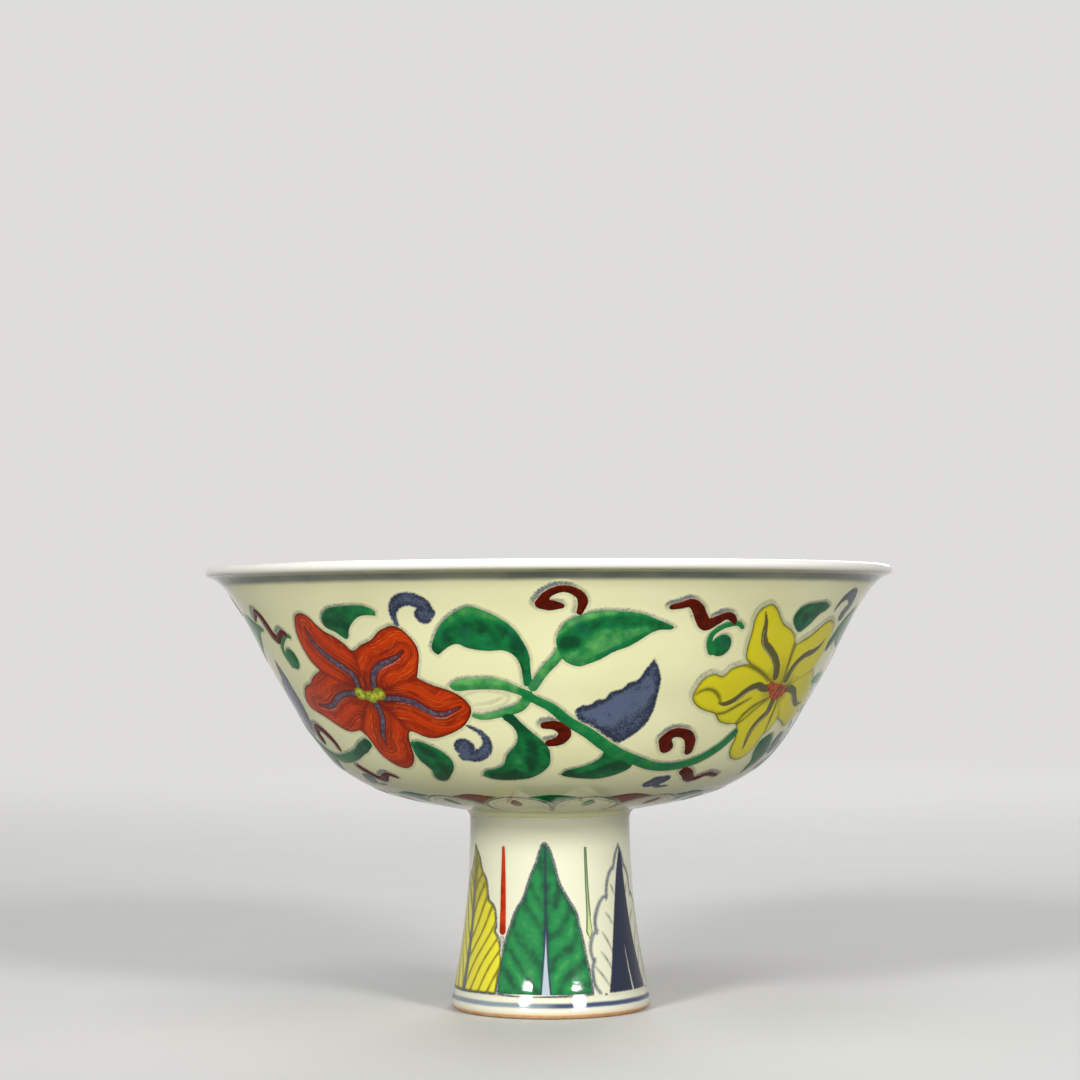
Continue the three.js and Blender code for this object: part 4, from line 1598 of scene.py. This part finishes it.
def stem_green_finish():
    """Green of the stem. A tone above 1 marks the pale needle."""
    finish = Finish("stem_green_enamel")
    tone = mottled(finish, 3, 1.1)
    base = finish.blend(STEM_GREEN_POOLED, STEM_GREEN_BODY, finish.soft_step(tone, 0, 0.5))
    base = finish.blend(base, STEM_GREEN_THIN, finish.soft_step(tone, 0.5, 1.1))
    pale = finish.soft_step(finish.field("tone"), 1.0, 1.2)
    in_core = finish.soft_step(finish.field("depth_in"), 0.2, 0.6)
    base = finish.blend(base, finish.blend(PALE_NEEDLE_EDGE, PALE_NEEDLE_CORE, in_core), pale)
    base = finish.blend(base, STEM_GREEN_EDGE, near_edge(finish, 0.1, 0.5) * (1 - pale) * 0.5)
    base = finish.blend(base, RIB_BLUE, finish.soft_step(finish.field("vein"), -0.35, 0.2) * 0.8)
    wedge = finish.field("wedge")
    base = finish.blend(base, WEDGE_WHITE, finish.soft_step(wedge, -0.05, 0.15))
    base = finish.blend(base, WEDGE_LINE, (1 - finish.soft_step(abs(wedge), 0.08, 0.34)) * 0.9)
    return enamelled(finish, base, 0.04, 0.03, STEM_SHINE)


print("green finishes defined")

# %% [markdown]
# Yellow is clear and bright in the middle of a shape and olive where it thickens. On the lilies the
# mesh tells how far a spot lies from its petal's edge, from a crease, from the vein and from the
# heart, and each of these distances draws one thing.

# %% Yellow enamel
OLIVE = colour(112, 104, 0)
YELLOW_BODY = colour(226, 214, 26)
YELLOW_THIN = colour(232, 224, 62)
YELLOW_EDGE = colour(92, 90, 22)
YELLOW_VEIN = colour(66, 62, 44)
STEM_YELLOW_VEIN = colour(92, 100, 96)
PETAL_SHADE = colour(164, 150, 6)
CREASE_SHADE = colour(120, 112, 10)
SEAM_LINE = colour(78, 76, 20)
YELLOW_GLINT = colour(226, 220, 170)
HEART_ORANGE = colour(196, 84, 14)
HEART_RED = colour(136, 30, 4)


def yellow_base(name, vein_colour):
    """A yellow finish and its colour so far, with the vein drawn in."""
    finish = Finish(name)
    tone = mottled(finish, 1.8, 0.3)
    base = finish.blend(OLIVE, YELLOW_BODY, finish.soft_step(tone, -0.1, 0.55))
    base = finish.blend(base, YELLOW_THIN, finish.soft_step(tone, 0.6, 0.9) * 0.4)
    base = finish.blend(base, YELLOW_EDGE, near_edge(finish, 0.1, 0.5) * 0.8)
    vein = finish.field("vein") + (finish.grain(0.6, 2) - 0.5) * 0.5
    return finish, finish.blend(base, vein_colour, finish.soft_step(vein, -0.2, 0.15) * 0.92)


def lily_yellow_finish():
    """Yellow of the lilies: shaded petals with drawn seams, and red hairs on an orange heart."""
    finish, base = yellow_base("yellow_enamel", YELLOW_VEIN)
    seam = 1 - finish.soft_step(finish.field("petal"), 0.1, 0.5)
    shade = 1 - finish.soft_step(finish.field("petal"), 0.2, 1.3)
    crease = finish.field("crease") + (finish.grain(0.5, 2) - 0.5) * 0.5
    line = (seam * 0.8).at_least(finish.soft_step(crease, -0.2, 0.2) * 0.75)
    # Painted highlight: a pale glint below each vein.
    glint = finish.soft_step(finish.field("glint"), -0.1, 0.15)
    base = finish.blend(base, PETAL_SHADE, shade * 0.5)
    base = finish.blend(base, CREASE_SHADE, finish.soft_step(crease, -0.7, 0.1) * 0.55)
    base = finish.blend(base, SEAM_LINE, line)
    base = finish.blend(base, YELLOW_GLINT, glint * 0.5)
    hairs = finish.soft_step(finish.grain(0.7, 2, (1, 1, 0.25)), 0.4, 0.6)
    heart = finish.soft_step(finish.field("heart"), -0.2, 0.3)
    base = finish.blend(base, finish.blend(HEART_ORANGE, HEART_RED, hairs), heart * 0.95)
    return enamelled(finish, base, 0.08, 0.05)


def stem_yellow_finish():
    """Yellow of the stem."""
    finish, base = yellow_base("stem_yellow_enamel", STEM_YELLOW_VEIN)
    return enamelled(finish, base, 0.05, 0.03, STEM_SHINE)


print("yellow finishes defined")

# %% [markdown]
# Red is a thin wash of iron that keeps every hair of the brush. The hairs are noise drawn out along
# the brush's way, which the mesh keeps as a distance from the vein. Aubergine is laid thick and
# shines.

# %% Red and aubergine enamel
AUBERGINE_SHINE = 0.07
RED_POOLED = colour(140, 30, 0)
RED_BODY = colour(198, 56, 0)
RED_HAIR = colour(236, 126, 44)
RED_RIM = colour(104, 20, 0)
RED_OUTLINE = colour(62, 12, 4)
RED_GLINT = colour(206, 172, 166)
VEIN_SHADE = colour(66, 18, 16)
VEIN_DARK = colour(62, 58, 76)
VEIN_PALE = colour(112, 100, 118)
BLOB_GREEN = colour(122, 134, 22)
BLOB_PALE = colour(206, 206, 76)
NEEDLE_BODY = colour(190, 52, 4)
NEEDLE_POOLED = colour(150, 34, 0)
AUBERGINE = colour(98, 20, 0)
AUBERGINE_POOLED = colour(68, 9, 0)
AUBERGINE_EDGE = colour(104, 38, 16)


def brush_hairs(finish):
    """Fine streaks that run along the brush's way, as noise from 0 to 1."""
    across = finish.field("sweep") * 3.6 + (finish.grain(3, 1) - 0.5) * 3
    along = finish.grain(6, 1) * 5
    vector = finish.node("ShaderNodeCombineXYZ", None, {0: across, 1: along})
    settings = {"noise_dimensions": "2D"}
    return finish.node("ShaderNodeTexNoise", settings, {"Vector": vector, "Scale": 1.0, "Detail": 3.0})


def red_finish():
    """Red of the lilies: hairs of the brush, dark rims, blue veins, and green blobs in the heart."""
    finish = Finish("red_enamel")
    hairs = brush_hairs(finish)
    tone = finish.field("tone") + (finish.grain(4, 2) - 0.5) * 0.5
    base = finish.blend(RED_POOLED, RED_BODY, finish.soft_step(tone + hairs * 0.4, 0.45, 1.0))
    lit = finish.soft_step(finish.grain(6, 1), 0.35, 0.65)
    base = finish.blend(base, RED_HAIR, finish.soft_step(hairs, 0.56, 0.72) * (0.25 + 0.5 * lit))
    rim = 1 - finish.soft_step(finish.field("petal"), 0.15, 1.2)
    base = finish.blend(base, RED_RIM, rim * 0.6)
    base = finish.blend(base, RED_OUTLINE, near_edge(finish, 0.1, 0.7) * 0.75)
    # Painted highlight: a pale glint below each vein.
    glint = finish.soft_step(finish.field("glint"), -0.12, 0.12)
    base = finish.blend(base, RED_GLINT, glint * 0.75)
    vein = finish.field("vein") + (finish.grain(0.6, 2) - 0.5) * 0.6
    vein_tone = finish.soft_step(finish.grain(0.9, 2), 0.35, 0.7)
    base = finish.blend(base, VEIN_SHADE, finish.soft_step(vein, -0.5, -0.1) * 0.85)
    core = finish.blend(VEIN_DARK, VEIN_PALE, vein_tone)
    base = finish.blend(base, core, finish.soft_step(vein, 0.0, 0.35) * 0.92)
    heart = finish.field("heart")
    strands = finish.soft_step(finish.grain(0.9, 2, (1, 1, 0.4)), 0.4, 0.62)
    blobs = finish.blend(BLOB_GREEN, BLOB_PALE, finish.soft_step(heart, 0.1, 0.8) * strands)
    base = finish.blend(base, blobs, finish.soft_step(heart, -0.1, 0.25))
    return finish.surface(base, 0.26 + 0.14 * finish.grain(1.5), glaze_skin(finish), ENAMEL_SHINE)


def needle_finish():
    """Red of the needles on the stem."""
    finish = Finish("needle_red")
    pooled = finish.soft_step(finish.grain(3, 2), 0.35, 0.7)
    base = finish.blend(NEEDLE_BODY, NEEDLE_POOLED, pooled)
    return finish.surface(base, 0.28, glaze_skin(finish), ENAMEL_SHINE)


def aubergine_finish():
    """Aubergine of the scrolls."""
    finish = Finish("aubergine_enamel")
    pooled = finish.soft_step(finish.grain(1.4, 2), 0.3, 0.75)
    base = finish.blend(AUBERGINE, AUBERGINE_POOLED, pooled)
    base = finish.blend(base, AUBERGINE_EDGE, near_edge(finish, 0.0, 0.3) * 0.4)
    return enamelled(finish, base, 0.08, 0.05, AUBERGINE_SHINE)


print("red and aubergine finishes defined")

# %% [markdown]
# Cobalt sits below the glaze: it has no edge to catch the light, only a grain where the ore heaped
# up. A thin line breaks up into dots, and a filled shape is a wash under heaped dots. One finish
# does both, and the depth that the mesh carries passes from the one to the other.

# %% Cobalt under the glaze
BLUE_DEEP = colour(26, 29, 46)
BLUE_WASH = colour(80, 96, 130)
BLUE_FAINT = colour(84, 92, 88)


def cobalt_finish(name, edge_grain, body):
    """Cobalt in the glaze's own skin. Where the wash fades out, the body's colour takes over."""
    finish = Finish(name)
    heaped = finish.grain(0.5, 3)
    patches = finish.soft_step(finish.grain(3.5, 2), 0.3, 0.7)
    depth = finish.field("depth")
    reach = finish.field("depth_in")
    solid = finish.soft_step(depth, 0.62, 0.76)
    dotted = finish.soft_step(reach + (heaped - 0.5) * 3.4 + depth * 1.3 - 0.85, 0.0, 0.55)
    covered = finish.soft_step(reach + (heaped - 0.5) * edge_grain, -0.4, 0.3)
    soft = finish.soft_step(reach, -0.6, 0.42) * depth * 0.8
    line = soft.at_least(dotted * 0.72) * (0.7 + 0.3 * patches)
    share = line + (covered * 0.96 - line) * solid
    washed = finish.blend(body(finish), finish.blend(BLUE_FAINT, BLUE_WASH, solid), share)
    at_edge = 1 - finish.soft_step(reach, 0.3, 1.7)
    clouds = finish.grain(3, 3) - 0.5
    heap = heaped + at_edge * 0.2 + (depth - 0.96) * 1.6 + clouds * 0.9
    dark = covered * solid * (0.15 + 0.85 * finish.soft_step(heap, 0.22, 0.78))
    base = finish.blend(washed, BLUE_DEEP, dark * 0.84)
    return finish.surface(base, GLAZE_GLOSS + 0.04 * finish.grain(4), glaze_skin(finish), ENAMEL_SHINE)


print("cobalt finish defined")

# %% [markdown]
# Each colour is laid on as a piece of its own, over the bowl and over the stem. The blue is cut
# away under the enamels, because a sheet that nobody sees would only cost triangles.

# %% Lay the coats
ENAMEL_SINK = 0.05  # mm that an enamel reaches into the glaze
COBALT_LIFT = 0.012  # mm between the glaze and the sheet of cobalt
COBALT_REACH = 0.75  # mm beyond a blue shape's edge, for its soft fading
HIDDEN_BELOW = 0.9  # mm inside an enamel, from where on the blue is left out
BOWL_ENAMELS = [
    # piece, coat, height of its dome in mm, finish, slot
    ("green_spray", green, 0.13, green_finish, "green_enamel"),
    ("yellow_lilies", yellow, 0.13, lily_yellow_finish, "yellow_enamel"),
    ("red_lilies", red, 0.07, red_finish, "red_enamel"),
    ("aubergine_scrolls", aubergine, 0.2, aubergine_finish, "aubergine_enamel"),
]
STEM_ENAMELS = [
    ("stem_green_leaves", stem_green, 0.035, stem_green_finish, "green_enamel"),
    ("stem_yellow_leaves", stem_yellow, 0.12, stem_yellow_finish, "yellow_enamel"),
    ("stem_red_needles", stem_red, 0.08, needle_finish, "red_enamel"),
]


def just_above(depth):
    """Lift of the cobalt: the same everywhere."""
    return np.full(len(depth), COBALT_LIFT)


def shown_blue(blue_coat, covers):
    """The blue that no enamel hides, with room for its soft edge."""
    shown = blue_coat.inside + COBALT_REACH
    for cover in covers:
        shown = np.minimum(shown, HIDDEN_BELOW - cover.inside)
    return shown


def lay_colours(enamels, blue_name, blue_coat, edge_grain, body):
    """The enamels of the bowl or of the stem, and then the cobalt between them."""
    for name, coat, height, finish, slot in enamels:
        lay_coat(name, coat, coat.inside, dome(height), ENAMEL_SINK, finish())
    shown = shown_blue(blue_coat, [enamel[1] for enamel in enamels])
    finish = cobalt_finish(blue_name, edge_grain, body)
    lay_coat(blue_name, blue_coat, shown, just_above, 0, finish)


lay_colours(BOWL_ENAMELS, "bowl_cobalt", blue, 1.6, glazed_body)
lay_colours(STEM_ENAMELS, "stem_cobalt", stem_blue, 0.5, stem_glaze_colour)

# %% [markdown]
# The stage begins with a pale floor that curves up behind the bowl, as a roll of paper does in a
# studio. It throws back little light, which keeps the underside of the bowl in shade, and far from
# the bowl it shines by itself wherever it is seen, so that it looks pale and lights nothing.

# %% Floor
BACKDROP = colour(222, 221, 219)
PAPER = colour(226, 225, 222)
PAPER_SHADE = colour(221, 220, 217)
PAPER_LIGHT = colour(76, 75, 74)  # what the rest of the scene sees of the paper
GLOW_FROM = 0.3  # metres from the bowl
GLOW_FULL = 1.3
SHEET_HALF = 4.0  # the sheet's sizes are in metres
SHEET_FRONT = -3.0
BEND_START = 1.6
BEND_RADIUS = 1.2
SHEET_TOP = 4.0


def seen_directly(tree):
    """1 for rays of the camera, of reflections and of clear bodies, which see the backdrop, and 0
    for its light."""
    paths = tree.nodes.new("ShaderNodeLightPath")
    total = None
    for name in ("Is Camera Ray", "Is Glossy Ray", "Is Transmission Ray"):
        both = tree.nodes.new("ShaderNodeMath")
        both.operation = "MAXIMUM"
        tree.links.new(paths.outputs[name], both.inputs[0])
        if total is None:
            both.inputs[1].default_value = 0
        else:
            tree.links.new(total, both.inputs[1])
        total = both.outputs[0]
    return total


def node_of_type(finish, kind):
    """The one node of that type in a finish."""
    return next(node for node in finish.tree.nodes if node.type == kind)


def brighten_far_paper(finish):
    """Mixes a glow into the paper, from none near the bowl to all of it far away."""
    paper = Wire(finish, node_of_type(finish, "BSDF_PRINCIPLED").outputs[0])
    seen = Wire(finish, seen_directly(finish.tree))
    settings = {"operation": "LENGTH"}
    away = finish.node("ShaderNodeVectorMath", settings, {0: finish.place}, output="Value")
    far = finish.soft_step(away, GLOW_FROM, GLOW_FULL)
    glow = finish.node("ShaderNodeEmission", None, {"Color": BACKDROP, "Strength": 1.0})
    both = finish.node("ShaderNodeMixShader", None, {0: seen * far, 1: paper, 2: glow})
    end = node_of_type(finish, "OUTPUT_MATERIAL")
    finish.tree.links.new(both.socket, end.inputs["Surface"])


def paper_finish():
    """Pale paper where it is seen, and dark paper for the light that it throws back."""
    finish = Finish("floor_paper")
    shade = finish.blend(PAPER, PAPER_SHADE, finish.grain(40, 2))
    toned = finish.blend(PAPER_LIGHT, shade, Wire(finish, seen_directly(finish.tree)))
    paper = finish.surface(toned, 0.9, finish.uneven(finish.grain(1.0, 2), 0.02))
    brighten_far_paper(finish)
    return paper


def floor():
    """A sheet that runs back from the camera and curves up."""
    angle = np.radians(np.linspace(-90, 0, 25))
    bend_back = BEND_START + BEND_RADIUS * np.cos(angle)
    bend_up = BEND_RADIUS + BEND_RADIUS * np.sin(angle)
    bend = np.column_stack([bend_back, bend_up])
    line = np.vstack([[SHEET_FRONT, 0], bend, [BEND_START + BEND_RADIUS, SHEET_TOP]])
    points = [(x, y, z) for y, z in line for x in (-SHEET_HALF, SHEET_HALF)]
    faces = [(2 * i, 2 * i + 1, 2 * i + 3, 2 * i + 2) for i in range(len(line) - 1)]
    mesh = bpy.data.meshes.new("floor")
    mesh.from_pydata(points, [], faces)
    mesh.polygons.foreach_set("use_smooth", [True] * len(faces))
    mesh.materials.append(paper_finish())
    sheet = bpy.data.objects.new("floor", mesh)
    bpy.context.scene.collection.objects.link(sheet)


floor()
print("floor laid")

# %% [markdown]
# The light: a soft lamp on each side, a broad one low in front that lights the overhanging wall,
# one behind and one above, and a dim even light from all round. Two small lamps give the stem its
# pair of bright points.

# %% Lamps
WORLD_LIGHT = 0.16
WORLD_TINT = (0.93, 0.95, 1.0, 1)
BOWL_MIDDLE = (0, 0, 0.07)
FOOT = (0, 0, 0.006)


def lamp(name, place, target, wide, high, power, lights=True, shines=True):
    """A soft lamp that looks at a target. One that only shines is a bright point in the glaze and
    gives no other light, and one that only lights can't be seen in the glaze."""
    data = bpy.data.lights.new(name, "AREA")
    data.shape = "RECTANGLE" if lights else "ELLIPSE"
    data.size = wide
    data.size_y = high
    data.energy = power
    light = bpy.data.objects.new(name, data)
    bpy.context.scene.collection.objects.link(light)
    light.location = place
    light.visible_diffuse = lights
    light.visible_glossy = shines
    light.rotation_euler = (Vector(target) - Vector(place)).to_track_quat("-Z", "Y").to_euler()


def studio_world():
    """A dim even light from all round. Where the world is seen, it is as pale as the backdrop."""
    world = bpy.data.worlds.new("studio")
    bpy.context.scene.world = world
    world.use_nodes = True
    tree = world.node_tree
    light = tree.nodes["Background"]
    light.inputs["Color"].default_value = WORLD_TINT
    light.inputs["Strength"].default_value = WORLD_LIGHT
    paper = tree.nodes.new("ShaderNodeBackground")
    paper.inputs["Color"].default_value = BACKDROP
    both = tree.nodes.new("ShaderNodeMixShader")
    tree.links.new(seen_directly(tree), both.inputs[0])
    tree.links.new(light.outputs[0], both.inputs[1])
    tree.links.new(paper.outputs[0], both.inputs[2])
    tree.links.new(both.outputs[0], tree.nodes["World Output"].inputs["Surface"])


studio_world()
lamp("key_lamp", (-0.9, -1.4, 0.82), BOWL_MIDDLE, 0.38, 0.38, 18.5)
lamp("fill_lamp", (1.0, -1.35, 0.8), BOWL_MIDDLE, 0.38, 0.38, 15.5)
lamp("front_lamp", (0.0, -1.9, 0.13), BOWL_MIDDLE, 1.5, 0.2, 14, shines=False)
lamp("back_lamp", (0.2, 1.6, 0.7), BOWL_MIDDLE, 1.0, 0.8, 12)
lamp("top_lamp", (0.0, -0.2, 1.6), BOWL_MIDDLE, 0.8, 0.8, 3)
lamp("left_point", (-0.35, -0.63, 0.21), FOOT, 0.2, 0.032, 1.7, lights=False)
lamp("right_point", (0.4, -0.605, 0.21), FOOT, 0.2, 0.032, 1.7, lights=False)
print(len(bpy.data.lights), "lamps hung")

# %% [markdown]
# The camera has a long lens, close to the table. Its distance, height, lens and turn were fitted so
# that the ellipse of the rim, the wall and the foot fall where the photograph has them.

# %% Camera
CAMERA_DISTANCE = 0.6566
CAMERA_HEIGHT = 0.09014
LENS = 90.18
PITCH, YAW, ROLL = 1.96, 0.18, -0.28
camera_data = bpy.data.cameras.new("camera")
camera_data.sensor_width = 36
camera_data.lens = LENS
camera_data.clip_start = 0.01
camera = bpy.data.objects.new("camera", camera_data)
bpy.context.scene.collection.objects.link(camera)
turn_to_view = (
    Matrix.Rotation(math.radians(YAW), 4, "Z")
    @ Matrix.Rotation(math.radians(90 + PITCH), 4, "X")
    @ Matrix.Rotation(math.radians(ROLL), 4, "Z")
)
camera.matrix_world = Matrix.Translation((0, -CAMERA_DISTANCE, CAMERA_HEIGHT)) @ turn_to_view
bpy.context.scene.camera = camera
bpy.context.scene.view_settings.view_transform = "Standard"
print(f"camera {CAMERA_DISTANCE:.3f} m away with a lens of {LENS:.0f} mm")
